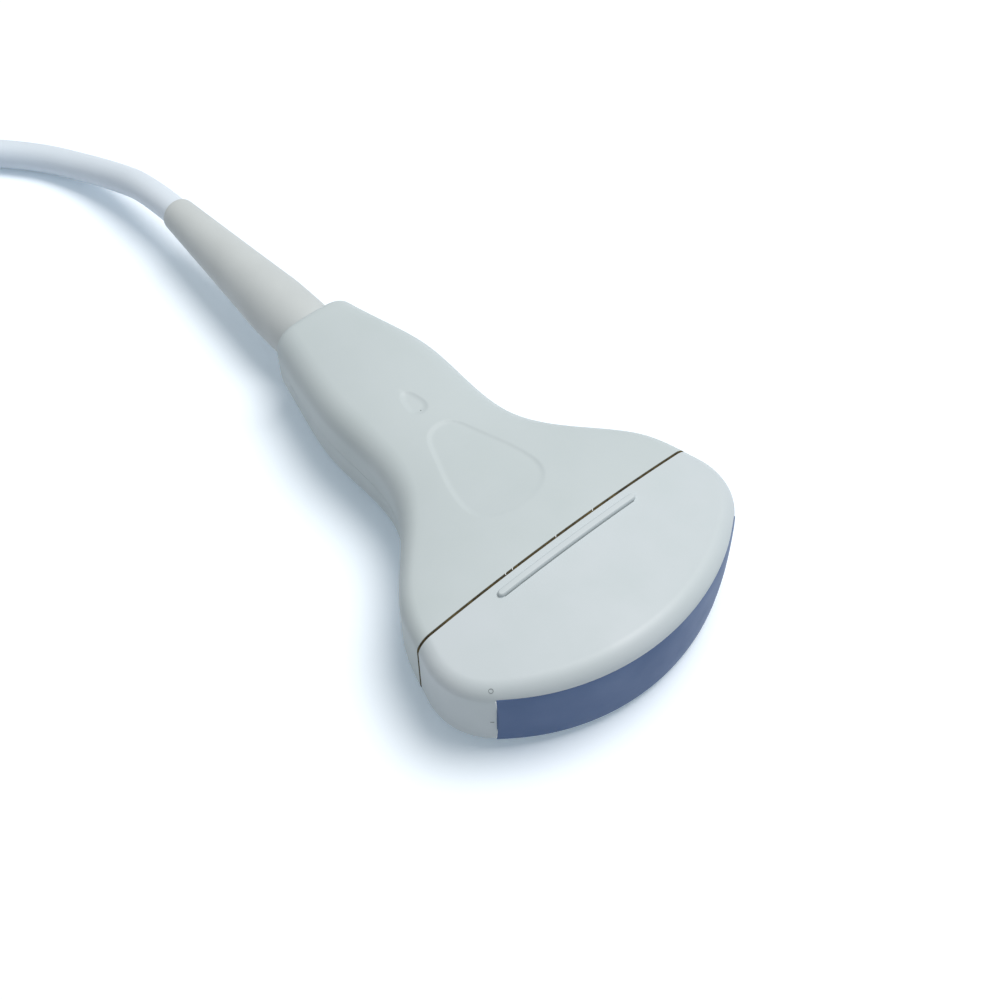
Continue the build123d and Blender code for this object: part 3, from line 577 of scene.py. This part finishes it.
@dataclass
class HandleSkins:
    """The handle's two moulded halves, with its thumb dish, finger mark and mouth."""

    length: float = 79.2
    seam_gap: float = 0.36
    parting_gap: float = 0.035
    seam_round: float = 0.1
    rear_round: float = 1.8
    wall: float = 2.2
    mouth_radius: float = 7.5
    mouth_depth: float = 1.6
    mouth_lip: float = 6.1
    mouth_wall: float = 1.6
    least_round: float = 0.8
    top_reach: float = 10.8
    top_share: float = 0.8
    side_steps: int = 4
    round_steps: int = 8
    rear_steps: int = 6
    inner_steps: int = 14
    top_spans: tuple[tuple[float, float, int], ...] = (
        (0.4, 9.0, 8), (9.0, 37.6, 95), (37.6, 39.8, 3), (39.8, 47.4, 30),
    )
    rear_rows: int = 20
    top_across: int = 72
    bottom_rows: int = 60
    bottom_across: int = 24
    edge_degrees: float = 35.0
    side: SideLine = field(default_factory=SideLine)
    thickness: tuple[Pair, ...] = ((0.0, 9.4), (27.0, 8.9), (54.0, 9.8), (79.2, 8.3))
    crown: tuple[Pair, ...] = ((0.0, 2.2), (79.2, 1.0))
    edge: tuple[Pair, ...] = ((0.0, 3.5), (25.0, 5.5))
    thumb: Dish = THUMB_DISH
    mark: Dish = FINGER_MARK

    def section(self, distance: float, inset: float, dense: int) -> list[Pair]:
        """Give half of a crowned section, from one parting over the top to the other.

        Args:
            distance: millimetres behind the seam.
            inset: how far in from the outside.
            dense: points over the middle of the top.

        Returns:
            Points across and above the middle.
        """
        half = self.side.half_width(distance) - inset
        thick = eased(distance, self.thickness) - inset
        crown = eased(distance, self.crown)
        rounding = max(eased(distance, self.edge) - inset, self.least_round)
        radius = (half * half + crown * crown) / (2 * crown)
        base = thick + crown - radius
        reach = half - rounding
        rise = math.sqrt((radius - rounding) ** 2 - reach**2)
        turn = math.atan2(reach, rise)
        low, steps = self.parting_gap, self.round_steps
        flat = base + rise - low
        points = [(half, low + flat * k / self.side_steps) for k in range(self.side_steps)]
        for k in range(steps + 1):
            angle = (math.pi / 2 - turn) * k / steps
            points.append(
                (reach + rounding * math.cos(angle), base + rise + rounding * math.sin(angle))
            )
        flank = points[:]
        end = radius * math.sin(turn)
        middle = min(self.top_reach, self.top_share * end)
        shoulder = [end + (middle - end) * k / steps for k in range(1, steps)]
        across = [middle - 2 * middle * k / dense for k in range(dense + 1)]
        across = shoulder + across + [-x for x in reversed(shoulder)]
        points += [(x, base + math.sqrt(radius**2 - x**2)) for x in across]
        return points + [(-x, z) for x, z in reversed(flank)]

    def row(self, distance: float, inset: float, dense: int) -> list[Vector]:
        """Lay one section as a row of points, with the arguments of section."""
        return [Vector((x, distance, z)) for x, z in self.section(distance, inset, dense)]

    def rows(
        self, stations: list[float], dense: int, dishes: tuple[Dish, ...]
    ) -> list[list[Vector]]:
        """Lay the rows of the half shell: outside, rear, mouth and back along the inside.

        Args:
            stations: distances of the outside's rows.
            dense: points over the middle of the top.
            dishes: what is sunk into the top.

        Returns:
            Rows of points in millimetres, above the middle.
        """
        rings = [(dish, dish.ring()) for dish in dishes]
        made = [self.row(self.seam_gap, self.seam_round, dense)]
        for distance in stations:
            row = self.row(distance, 0.0, dense)
            for dish, ring in rings:
                if dish.outline[0][1] < distance < dish.outline[-1][1]:
                    for point in row:
                        point.z -= dish.sink(ring, point.x, distance)
            made.append(row)
        for k in range(1, self.rear_steps + 1):
            angle = math.pi / 2 * k / self.rear_steps
            distance = self.length - self.rear_round * (1 - math.sin(angle))
            inset = self.rear_round * (1 - math.cos(angle))
            made.append(self.row(distance, inset, dense))
        last = made[-1]
        rim = [self.on_mouth(p, self.mouth_radius, self.length) for p in last]
        made.append([p.lerp(on_rim, 0.5) for p, on_rim in zip(last, rim)])
        made.append(rim)
        floor = self.length - self.mouth_depth
        inner = floor - self.mouth_wall
        lip = self.mouth_lip
        for radius, distance in ((self.mouth_radius, floor), (lip, floor), (lip, inner)):
            made.append([self.on_mouth(p, radius, distance) for p in last])
        back = [inner * (1 - k / self.inner_steps) for k in range(self.inner_steps)]
        return made + [self.row(d, self.wall, dense) for d in (*back, self.seam_gap)]

    def on_mouth(self, point: Vector, radius: float, distance: float) -> Vector:
        """Put a point on a circle about the cable.

        Args:
            point: gives the direction from the middle.
            radius: the circle's radius.
            distance: where along the handle.

        Returns:
            The place on the circle.
        """
        angle = math.atan2(point.z - self.parting_gap, point.x)
        height = radius * math.sin(angle) + self.parting_gap
        return Vector((radius * math.cos(angle), distance, height))

    def skin(self, name: str, side: int, rows: list[list[Vector]]) -> Object:
        """Make one half shell from its rows, as no operator makes such a loft.

        Args:
            name: the piece's name.
            side: 1 for the top, -1 for the bottom.
            rows: rows of points, which close on themselves.

        Returns:
            The piece.
        """
        wide = len(rows[0])
        places = [
            (p.x * MM, (p.y + SEAM_Y) * MM, (MIDDLE + side * p.z) * MM) for row in rows for p in row
        ]
        faces = []
        for i in range(len(rows)):
            here, after = i * wide, (i + 1) % len(rows) * wide
            for j in range(wide - 1):
                faces.append((here + j, here + j + 1, after + j + 1, after + j))
        faces.append(tuple(i * wide for i in range(len(rows))))
        faces.append(tuple(i * wide + wide - 1 for i in reversed(range(len(rows)))))
        piece = mesh_piece(name, places, [], faces)
        edit_whole(bpy.ops.mesh.normals_make_consistent, inside=False)
        bpy.ops.object.shade_smooth_by_angle(angle=math.radians(self.edge_degrees))
        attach(piece, "root")
        return piece

    def build(self, housing: Material) -> None:
        """Make both halves and dress them.

        Args:
            housing: the handle's finish, the housing's compound painted a shade darker as painted
                shade.
        """
        rear = self.length - self.rear_round
        fine: list[float] = []
        behind = (self.top_spans[-1][1], rear, self.rear_rows)
        for start, end, count in (*self.top_spans, behind):
            fine += [start + (end - start) * k / count for k in range(count)]
        fine.append(rear)
        first, count = self.top_spans[0][0], self.bottom_rows
        plain = [first + (rear - first) * k / count for k in range(count + 1)]
        upper_rows = self.rows(fine, self.top_across, (self.thumb, self.mark))
        lower_rows = self.rows(plain, self.bottom_across, ())
        top = self.skin("moulded_upper_handle", 1, upper_rows)
        bottom = self.skin("moulded_lower_handle", -1, lower_rows)
        for piece, node in ((top, "upper_handle_shell"), (bottom, "lower_handle_shell")):
            dress(piece, housing)
            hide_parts(node)
        LOG.info("handle's two halves made")


@dataclass
class SeamFill:
    """The silicone in the seam, with the grime that has settled in it nearly up to the skin."""

    front: float = -0.2
    rear: float = 0.46
    set_back: float = 0.1
    depth: float = 1.6
    dense: int = 40

    def build(self, handle: HandleSkins) -> None:
        """Extrude the seam's outline backwards, give it a wall and dress it.

        Args:
            handle: gives the outline at the seam.
        """
        half = handle.section(0.0, self.set_back, self.dense)
        ring = half + [(x, -z) for x, z in reversed(half)]
        y = (self.front + SEAM_Y) * MM
        places = [(x * MM, y, (MIDDLE + z) * MM) for x, z in ring]
        edges = [(i, (i + 1) % len(ring)) for i in range(len(ring))]
        piece = mesh_piece("seam_fill", places, edges, [])
        back = (0, (self.rear - self.front) * MM, 0)
        edit_whole(bpy.ops.mesh.extrude_edges_move, TRANSFORM_OT_translate={"value": back})
        edit_whole(bpy.ops.mesh.normals_make_consistent, inside=False)
        wall = piece.modifiers.new("wall", "SOLIDIFY")
        wall.thickness = self.depth * MM
        wall.offset = -1.0
        bpy.ops.object.modifier_apply(modifier="wall")
        dress(piece, GASKET.build())
        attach(piece, "root")
        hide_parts("seam_gasket")
        LOG.info("seam filled")


def front_pull(angle: float) -> float:
    """Say how far the nose's front arc lies behind its drawn radius.

    Args:
        angle: radians from the probe's middle line, about the array's centre.

    Returns:
        Millimetres towards the array's centre.
    """
    return eased(abs(math.degrees(angle)), FRONT_PULL)


@dataclass
class LensStrip:
    """The cast lens: bulged, with hollow ends, and wrapped round the nose's lower edge."""

    half_angle: float = 38.8
    hollow: float = 0.011
    hollow_middle: float = -0.5
    hollow_reach: float = 8.0
    edge_degrees: float = 35.0
    edge_rise: float = 1.44
    edge_levels: Pair = (-3.0, -8.1)
    steps: int = 96
    profile: tuple[Pair, ...] = (
        (48.5, 7.5), (50.02, 7.5), (50.14, 6.6), (50.28, 4.6), (50.36, 2.3),
        (50.38, 0.0), (50.34, -3.0), (50.2, -6.0), (50.06, -8.14), (49.95, -8.94),
        (49.84, -9.44), (49.6, -9.94), (49.3, -10.34), (48.9, -10.54), (48.3, -10.3),
    )

    def narrowing(self, height: float) -> float:
        """Say how the hollow ends narrow the lens at a height.

        Args:
            height: millimetres above the middle.

        Returns:
            Share of the full angle.
        """
        off = (height - self.hollow_middle) / self.hollow_reach
        return 1 - self.hollow * max(0.0, 1 - off**2)

    def settle(self, piece: Object) -> None:
        """Hollow the ends a little and let the lower edge follow the nose's rising one.

        Args:
            piece: the spun lens.
        """
        top, low = self.edge_levels
        for vertex in piece.data.vertices:
            x, y = vertex.co.x / MM, vertex.co.y / MM - ARRAY_Y
            height = vertex.co.z / MM - MIDDLE
            angle = math.atan2(x, -y)
            radius = math.hypot(x, y) - front_pull(angle)
            share = max(0.0, min(1.0, (top - height) / (top - low)))
            level = height + self.edge_rise * (math.degrees(angle) / self.half_angle) ** 2 * share
            angle *= self.narrowing(height)
            vertex.co = (
                radius * math.sin(angle) * MM,
                (ARRAY_Y - radius * math.cos(angle)) * MM,
                (MIDDLE + level) * MM,
            )

    def build(self) -> None:
        """Spin the profile about the array's centre, close both ends and dress it."""
        start = math.radians(-90 - self.half_angle)
        places = [
            (
                radius * math.cos(start) * MM,
                (ARRAY_Y + radius * math.sin(start)) * MM,
                (MIDDLE + height) * MM,
            )
            for radius, height in self.profile
        ]
        piece = mesh_piece("cast_lens", places, [], [tuple(range(len(places)))])
        edit_whole(
            bpy.ops.mesh.spin,
            steps=self.steps,
            angle=-2 * math.radians(self.half_angle),
            center=(0, ARRAY_Y * MM, 0),
            axis=(0, 0, 1),
        )
        LOG.info("lens spun, %.1f mm wide", piece.dimensions.x / MM)
        edit_whole(bpy.ops.mesh.remove_doubles, threshold=MERGE)
        self.settle(piece)
        edit_whole(bpy.ops.mesh.normals_make_consistent, inside=False)
        bpy.ops.object.shade_smooth_by_angle(angle=math.radians(self.edge_degrees))
        dress(piece, LENS.build())
        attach(piece, "root")
        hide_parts("acoustic_lens")


def bead(name: str, points: list[Spot] | tuple[Spot, ...], radius: float, finish: Material) -> None:
    """Make a thin rounded line on the housing through points given in millimetres.

    Args:
        name: the piece's name.
        points: the line's places.
        radius: the line's radius.
        finish: its material.
    """
    curve = bpy.data.curves.new(name, "CURVE")
    curve.dimensions = "3D"
    curve.bevel_depth = radius * MM
    curve.bevel_resolution = 3
    curve.use_fill_caps = True
    spline = curve.splines.new("POLY")
    spline.points.add(len(points) - 1)
    for place, point in zip(points, spline.points):
        point.co = (*(value * MM for value in place), 1.0)
    piece = link_in(bpy.data.objects.new(name, curve))
    bpy.ops.object.convert(target="MESH")
    bpy.ops.object.shade_smooth()
    dress(piece, finish)
    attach(piece, "root")
    LOG.info("%s laid", name)


@dataclass
class NoseSkin:
    """The nose as it is moulded: a slim high rib, a line of painted shade in its corner and lines
    of painted highlight at the lens's ends.
    """

    rib_y: float = -54.1
    rib_half: float = 1.0
    rib_reach: float = 17.7
    rib_slack: float = 0.02
    rib_foot: float = 0.06
    slim_y: float = -53.65
    slim_share: float = 0.78
    lift: float = 1.4
    half_thick: float = 11.6
    crown_radius: float = 279.5
    edge_degrees: float = 30.0
    pull_from: float = 42.0
    pull_over: float = 5.0
    # The line of painted shade along the rib's front corner.
    line_half_length: float = 16.6
    line_steps: int = 24
    line_ahead: float = 0.02
    line_sink: float = 0.03
    line_bead: float = 0.13
    # The lines of painted highlight at the lens's ends.
    lip_top: float = 7.3
    lip_height: float = 15.2
    lip_steps: int = 16
    lip_gap_degrees: float = 0.12
    lip_radius: float = 50.04
    lip_curl: float = 0.35
    lip_curl_from: float = -6.2
    lip_curl_over: float = 1.7
    lip_bead: float = 0.1
    ring_centre: Spot = (-31.0, -67.02, 20.73)
    ring_normal: Spot = (-0.51, -0.46, 0.73)
    ring_radius: float = 0.42
    ring_steps: int = 20
    ring_bead: float = 0.05
    tick: tuple[Spot, ...] = ((-31.91, -67.75, 10.9), (-31.36, -68.26, 10.9))
    tick_bead: float = 0.09
    dot: tuple[Spot, ...] = ((-0.09, -9.8, 22.24), (-0.02, -9.6, 22.24))
    dot_bead: float = 0.12
    # The arc of painted highlight on the handle's mouth at the boot's joint.
    mouth_y: float = 28.3
    mouth_radius: float = 7.62
    mouth_degrees: tuple[int, int, int] = (66, 106, 2)
    mouth_bead: float = 0.14
    specks_x: tuple[float, ...] = (9.0, -0.6, -11.6, -13.3)
    speck_path: tuple[Pair, ...] = ((-0.2, -51.1), (0.0, -50.75), (0.2, -50.68))
    speck_sink: float = 0.1
    speck_bead: float = 0.075
    lens: LensStrip = field(default_factory=LensStrip)

    def crown(self, x: float) -> float:
        """Give the top's height in millimetres.

        Args:
            x: millimetres across.

        Returns:
            Height above the floor.
        """
        drop = math.sqrt(self.crown_radius**2 - x * x)
        return MIDDLE + self.half_thick + drop - self.crown_radius

    def lip(self, side: int) -> list[Spot]:
        """Follow one end of the lens, where a line of painted highlight goes.

        Args:
            side: minus one for the left end, one for the right.

        Returns:
            The lip's places.
        """
        places = []
        for k in range(self.lip_steps + 1):
            height = self.lip_top - self.lip_height * k / self.lip_steps
            turn = math.radians(self.lens.half_angle + self.lip_gap_degrees)
            turn *= self.lens.narrowing(height)
            curl = max(0.0, (self.lip_curl_from - height) / self.lip_curl_over)
            radius = self.lip_radius - self.lip_curl * curl**2 - front_pull(turn)
            y = ARRAY_Y - radius * math.cos(turn)
            places.append((side * radius * math.sin(turn), y, MIDDLE + height))
        return places

    def ring_mark(self) -> list[Spot]:
        """Lay the small moulding ring on the corner.

        Returns:
            The ring's places, closed.
        """
        normal = Vector(self.ring_normal).normalized()
        first = normal.orthogonal().normalized()
        second = normal.cross(first)
        places = []
        for k in range(self.ring_steps + 1):
            turn = 2 * math.pi * k / self.ring_steps
            away = math.cos(turn) * first + math.sin(turn) * second
            places.append(tuple(Vector(self.ring_centre) + self.ring_radius * away))
        return places

    def reshape(self, piece: Object) -> None:
        """Pull the front arc back, and slim, move and raise the rib.

        Args:
            piece: the copied nose.
        """
        moved = 0
        for vertex in piece.data.vertices:
            x, y, z = (value / MM for value in vertex.co)
            radius, angle = math.hypot(x, y - ARRAY_Y), math.atan2(x, ARRAY_Y - y)
            crown = self.crown(x)
            if radius > self.pull_from and y < ARRAY_Y:
                pull = front_pull(angle) * min(1.0, (radius - self.pull_from) / self.pull_over)
                vertex.co.x -= pull * math.sin(angle) * MM
                vertex.co.y += pull * math.cos(angle) * MM
            elif (
                abs(y - self.rib_y) <= self.rib_half + self.rib_slack
                and abs(x) <= self.rib_reach
                and z >= crown - self.rib_foot
            ):
                vertex.co.y = (self.slim_y + (y - self.rib_y) * self.slim_share) * MM
                vertex.co.z = (crown + (z - crown) * self.lift) * MM
                moved += 1
        LOG.info("rib slimmed, %d points moved", moved)

    def marks(self) -> None:
        """Add the painted shade line at the rib's corner, the painted highlight lines at the lens's
        ends and the boot's joint, the small marks and the pale specks in the seam.
        """
        # grime dresses the painted shade in the rib's corner as well as the small dark marks.
        grime = CORNER_SHADE_AND_MARKS.build()
        # pale dresses the painted highlight lines and the pale specks in the seam.
        pale = PALE_HIGHLIGHT_AND_SPECKS.build()
        half, count = self.line_half_length, self.line_steps
        front = self.slim_y - self.rib_half * self.slim_share - self.line_ahead
        across = [-half + 2 * half * k / count for k in range(count + 1)]
        corner = [(x, front, self.crown(x) - self.line_sink) for x in across]
        # Painted shade: a thin dull dark grey line along the rib's front corner, where shade falls.
        bead("rib_corner_painted_shade", corner, self.line_bead, grime)
        # Painted highlight: near-white lines where the lens's ends meet the housing's rounded edge.
        bead("left_lens_painted_highlight", self.lip(-1), self.lip_bead, pale)
        bead("right_lens_painted_highlight", self.lip(1), self.lip_bead, pale)
        bead("moulding_ring", self.ring_mark(), self.ring_bead, grime)
        bead("moulding_tick", self.tick, self.tick_bead, grime)
        bead("mark_dot", self.dot, self.dot_bead, grime)
        # Painted highlight: a near-white arc on the handle's mouth above the boot.
        mouth = []
        for turn in (math.radians(degrees) for degrees in range(*self.mouth_degrees)):
            rise = self.mouth_radius * math.sin(turn)
            mouth.append((self.mouth_radius * math.cos(turn), self.mouth_y, MIDDLE + rise))
        bead("boot_joint_painted_highlight", mouth, self.mouth_bead, pale)
        for number, x in enumerate(self.specks_x, start=1):
            level = self.crown(x) - self.speck_sink
            path = [(x + shift, y, level) for shift, y in self.speck_path]
            bead(f"seam_speck_{number}", path, self.speck_bead, pale)

    def build(self, nose: Object, housing: Material) -> None:
        """Copy the nose, reshape it a little and add its fine lines.

        Args:
            nose: the CAD nose.
            housing: the housing's finish.
        """
        piece = link_in(nose.copy())
        piece.data = nose.data.copy()
        piece.name = "moulded_nose"
        edit_whole(bpy.ops.mesh.remove_doubles, threshold=MERGE)
        self.reshape(piece)
        edit_whole(bpy.ops.mesh.normals_make_consistent, inside=False)
        if piece.data.has_custom_normals:
            bpy.ops.mesh.customdata_custom_splitnormals_clear()
        bpy.ops.object.shade_smooth_by_angle(angle=math.radians(self.edge_degrees))
        weighted = piece.modifiers.new("weighted", "WEIGHTED_NORMAL")
        weighted.mode = "FACE_AREA"
        weighted.weight = 100
        weighted.keep_sharp = True
        bpy.ops.object.modifier_apply(modifier="weighted")
        dress(piece, housing)
        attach(piece, "root")
        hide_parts("nose")
        self.marks()
        LOG.info("nose skinned")


@dataclass
class BootSleeve:
    """The tapered strain relief: a collar in the handle's mouth, a shoulder and a long taper."""

    segments: int = 96
    merge: float = 1e-6
    edge_degrees: float = 30.0
    stations: tuple[Pair, ...] = (
        (24.0, 6.9), (25.2, 6.9), (25.2, 6.0), (26.55, 6.0), (26.55, 7.4), (28.1, 7.42),
        (34.0, 7.36), (39.0, 7.26), (41.5, 7.18), (43.0, 7.07), (45.0, 6.88),
        (50.0, 6.45), (58.0, 5.78), (66.0, 5.12), (73.0, 4.55), (78.6, 4.12),
        (79.3, 4.02), (79.7, 3.84), (79.9, 3.6), (79.9, 3.45), (24.0, 3.45),
    )

    def build(self) -> None:
        """Extrude a ring along the stations, close it on itself and dress it."""
        bpy.ops.object.select_all(action="DESELECT")
        first_y, first_radius = self.stations[0]
        bpy.ops.mesh.primitive_circle_add(
            vertices=self.segments,
            radius=first_radius * MM,
            location=(0, first_y * MM, MIDDLE * MM),
            rotation=(math.pi / 2, 0, 0),
        )
        piece = bpy.context.active_object
        piece.name = "tapered_boot"
        bpy.ops.object.transform_apply(location=True, rotation=True, scale=True)
        bpy.ops.object.mode_set(mode="EDIT")
        bpy.ops.mesh.select_all(action="SELECT")
        y, radius = first_y, first_radius
        for next_y, next_radius in self.stations[1:]:
            back = (0, (next_y - y) * MM, 0)
            bpy.ops.mesh.extrude_edges_move(TRANSFORM_OT_translate={"value": back})
            share = next_radius / radius
            centre = (0, next_y * MM, MIDDLE * MM)
            bpy.ops.transform.resize(value=(share, 1, share), center_override=centre)
            y, radius = next_y, next_radius
        bpy.ops.object.mode_set(mode="OBJECT")
        last = len(piece.data.vertices) - self.segments
        for vertex in piece.data.vertices:
            vertex.select = not self.segments <= vertex.index < last
        for edge in piece.data.edges:
            edge.select = all(piece.data.vertices[i].select for i in edge.vertices)
        bpy.ops.object.mode_set(mode="EDIT")
        bpy.ops.mesh.select_mode(type="EDGE")
        bpy.ops.mesh.bridge_edge_loops()
        bpy.ops.object.mode_set(mode="OBJECT")
        edit_whole(bpy.ops.mesh.remove_doubles, threshold=self.merge)
        edit_whole(bpy.ops.mesh.normals_make_consistent, inside=False)
        bpy.ops.object.shade_smooth_by_angle(angle=math.radians(self.edge_degrees))
        dress(piece, BOOT.build())
        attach(piece, "root")
        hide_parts("boot")
        LOG.info("boot made with %d stations", len(self.stations))


@dataclass
class Housing:
    """The nose, the handle's halves, the seam's gasket, the lens and the boot."""

    shells: tuple[str, ...] = ("nose", "upper_handle_shell", "lower_handle_shell")
    handle: HandleSkins = field(default_factory=HandleSkins)

    def build(self) -> None:
        """Dress the CAD nodes of the housing and make the pieces that replace them."""
        housing = HOUSING.build()
        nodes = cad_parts
        for name in self.shells:
            dress(nodes[name], housing)
        # The handle's halves take the housing's compound painted a shade darker, as painted shade.
        self.handle.build(HANDLE_SHADED.build())
        dress(nodes["boot"], BOOT.build())
        BootSleeve().build()
        dress(nodes["seam_gasket"], GASKET.build())
        SeamFill().build(self.handle)
        dress(nodes["acoustic_lens"], LENS.build())
        LensStrip().build()
        NoseSkin().build(nodes["nose"], housing)
        LOG.info("housing dressed")


# What the head, the handle and the plug hold, by the stuff that it is made of.
INNER_STUFFS: tuple[tuple[MouldedFinish | MetalFinish, tuple[str, ...]], ...] = (
    # Epoxy filled with powder: sandy and satin.
    (
        MouldedFinish("filled_epoxy_layer", "#b9ad97", "#ab9f88", 0.6),
        ("outer_matching_layer", "inner_matching_layer"),
    ),
    # Thin rolled copper, bare.
    (MetalFinish("rolled_copper_foil", "#c98b62", 0.3), ("ground_foil",)),
    # Fired piezo ceramic, sawn into elements.
    (MouldedFinish("sawn_ceramic", "#cbbf9f", "#bdb191", 0.5), ("piezo_array",)),
    # Epoxy loaded with heavy powder: nearly black and dull.
    (MouldedFinish("loaded_epoxy_backing", "#2a2a2d", "#343438", 0.7), ("backing_block",)),
    # Aluminium with milling lines.
    (MetalFinish("machined_aluminium", "#c3c5c9", 0.35), ("array_frame",)),
    # Glass-fibre board under a glossy green mask.
    (
        MouldedFinish("green_solder_mask", "#1f6a42", "#1a5d39", 0.3, 1.55),
        ("interconnect_board", "plug_board"),
    ),
    # Polyimide film over copper tracks: amber and glossy.
    (
        MouldedFinish("amber_polyimide", "#b06a1e", "#a4611a", 0.3, 1.6),
        ("upper_flex_circuit", "lower_flex_circuit"),
    ),
    # Moulded nylon, black.
    (
        MouldedFinish("black_moulded_nylon", "#232427", "#2c2d30", 0.45),
        (
            "upper_flex_connector", "lower_flex_connector", "upper_coax_connector",
            "lower_coax_connector", "contact_block",
        ),
    ),
    # Blue sleeves of fine coax lines, laid side by side.
    (
        MouldedFinish("bundled_micro_coax", "#3d5c93", "#35518a", 0.4),
        ("upper_coax_ribbon", "lower_coax_ribbon", "plug_wires"),
    ),
    # Pressed and turned steel.
    (
        MetalFinish("plain_steel", "#a9abaf", 0.3),
        ("board_screws", "cable_clamp", "plug_clamp", "plug_screws", "plug_shroud"),
    ),
    # Brass contacts with a thin gold plating.
    (MetalFinish("gold_plated_brass", "#dcb35a", 0.25), ("plug_contacts",)),
    # Satin injection-moulded blend, like the housing's.
    (
        MouldedFinish("satin_moulded_plug", "#c9ced1", "#c2c8cc", 0.45, 1.5),
        ("plug_upper_shell", "plug_lower_shell"),
    ),
    # Soft moulded elastomer, grey.
    (MouldedFinish("soft_plug_boot", "#c0c5c5", "#babfbf", 0.55), ("plug_boot",)),
)


def dress_inside() -> None:
    """Dress the inner pieces and the plug by the kind of stuff they are made of."""
    for finish, names in INNER_STUFFS:
        material = finish.build()
        for name in names:
            dress(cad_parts[name], material)
    LOG.info("inner pieces and plug dressed")


@dataclass
class Studio:
    """The white floor, the soft light and the photograph's camera."""

    azimuth: float = -44.87
    elevation: float = 56.68
    roll: float = 3.06
    distance: float = 0.290
    focal_px: float = 1469.96
    axis_px: Pair = (557.35, 568.26)
    aim: Spot = (0.0, -0.0511, 0.0116)
    image_px: float = 1000.0
    sensor_mm: float = 36.0
    floor_size: float = 6.0
    floor_level: float = -0.0002
    floor_glow: Colour = (0.62, 0.83, 1.0, 1.0)
    glow_strength: float = 0.22
    sky_colour: Colour = (0.96, 0.985, 1.0, 1.0)
    sky_strength: float = 0.285
    lamp_place: Spot = (0.56, -0.12, 1.52)
    lamp_colour: Spot = (1.0, 0.99, 0.97)
    lamp_size: float = 1.05
    lamp_energy: float = 22.9

    def floor(self) -> None:
        """Lay a white floor that keeps the probe's soft shadow.

        What the camera sees glows faintly, and what lights the probe from below is plain.
        """
        bpy.ops.object.select_all(action="DESELECT")
        bpy.ops.mesh.primitive_plane_add(size=self.floor_size, location=(0, 0, self.floor_level))
        floor = bpy.context.active_object
        floor.name = "studio_floor"
        material, tree = blank_material("white_sweep")
        seen = add_node(
            tree,
            "ShaderNodeBsdfPrincipled",
            {
                "Base Color": linear("#f6faff"),
                "Roughness": 0.9,
                "Emission Color": self.floor_glow,
                "Emission Strength": self.glow_strength,
            },
        )
        unseen = add_node(tree, "ShaderNodeBsdfDiffuse", {"Color": linear("#dfe4ea")})
        path = add_node(tree, "ShaderNodeLightPath")
        share = path.outputs["Is Camera Ray"]
        for kind in ("Is Glossy Ray", "Is Transmission Ray"):
            either = add_node(
                tree, "ShaderNodeMath", {0: share, 1: path.outputs[kind]}, operation="MAXIMUM"
            )
            share = either.outputs[0]
        shader = add_node(
            tree, "ShaderNodeMixShader", {0: share, 1: unseen.outputs[0], 2: seen.outputs[0]}
        )
        add_node(tree, "ShaderNodeOutputMaterial", {"Surface": shader.outputs[0]})
        dress(floor, material)

    def lights(self) -> None:
        """Light the scene evenly from all round, with one large soft lamp above and to the side."""
        world = bpy.data.worlds.new("even_sky")
        bpy.context.scene.world = world
        world.use_nodes = True
        tree = world.node_tree
        tree.nodes.clear()
        links = {"Color": self.sky_colour, "Strength": self.sky_strength}
        sky = add_node(tree, "ShaderNodeBackground", links)
        add_node(tree, "ShaderNodeOutputWorld", {"Surface": sky.outputs[0]})
        lamp = bpy.data.lights.new("large_softbox", "AREA")
        lamp.shape = "DISK"
        lamp.size = self.lamp_size
        lamp.energy = self.lamp_energy
        lamp.color = self.lamp_colour
        softbox = bpy.data.objects.new("large_softbox", lamp)
        softbox.location = self.lamp_place
        aim = Vector(self.aim) - softbox.location
        softbox.rotation_euler = aim.to_track_quat("-Z", "Y").to_euler()
        bpy.context.scene.collection.objects.link(softbox)

    def camera(self) -> None:
        """Put the camera where the photograph was taken from."""
        azimuth = math.radians(self.azimuth)
        elevation = math.radians(self.elevation)
        roll = math.radians(self.roll)
        flat = math.cos(elevation)
        back = Vector((math.sin(azimuth) * flat, -math.cos(azimuth) * flat, math.sin(elevation)))
        right = Vector((math.cos(azimuth), math.sin(azimuth), 0))
        up = back.cross(right)
        across = right * math.cos(roll) + up * math.sin(roll)
        upward = up * math.cos(roll) - right * math.sin(roll)
        turn = Matrix((across, upward, back)).transposed().to_4x4()
        data = bpy.data.cameras.new("photo_camera")
        data.sensor_width = self.sensor_mm
        data.lens = self.focal_px / self.image_px * self.sensor_mm
        data.shift_x = (self.image_px / 2 - self.axis_px[0]) / self.image_px
        data.shift_y = (self.axis_px[1] - self.image_px / 2) / self.image_px
        data.clip_start = 0.01
        camera = bpy.data.objects.new("photo_camera", data)
        camera.matrix_world = Matrix.Translation(Vector(self.aim) + back * self.distance) @ turn
        bpy.context.scene.collection.objects.link(camera)
        bpy.context.scene.camera = camera

    def build(self) -> None:
        """Set the stage."""
        scene = bpy.context.scene
        scene.view_settings.view_transform = "Standard"
        self.floor()
        self.lights()
        self.camera()
        LOG.info("studio set")


def main() -> None:
    """Build the probe's looks in order."""
    logging.basicConfig(level=logging.INFO, format="%(message)s")
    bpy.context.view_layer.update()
    Studio().build()
    Cable().build()
    Housing().build()
    dress_inside()


if __name__ == "__main__":
    main()
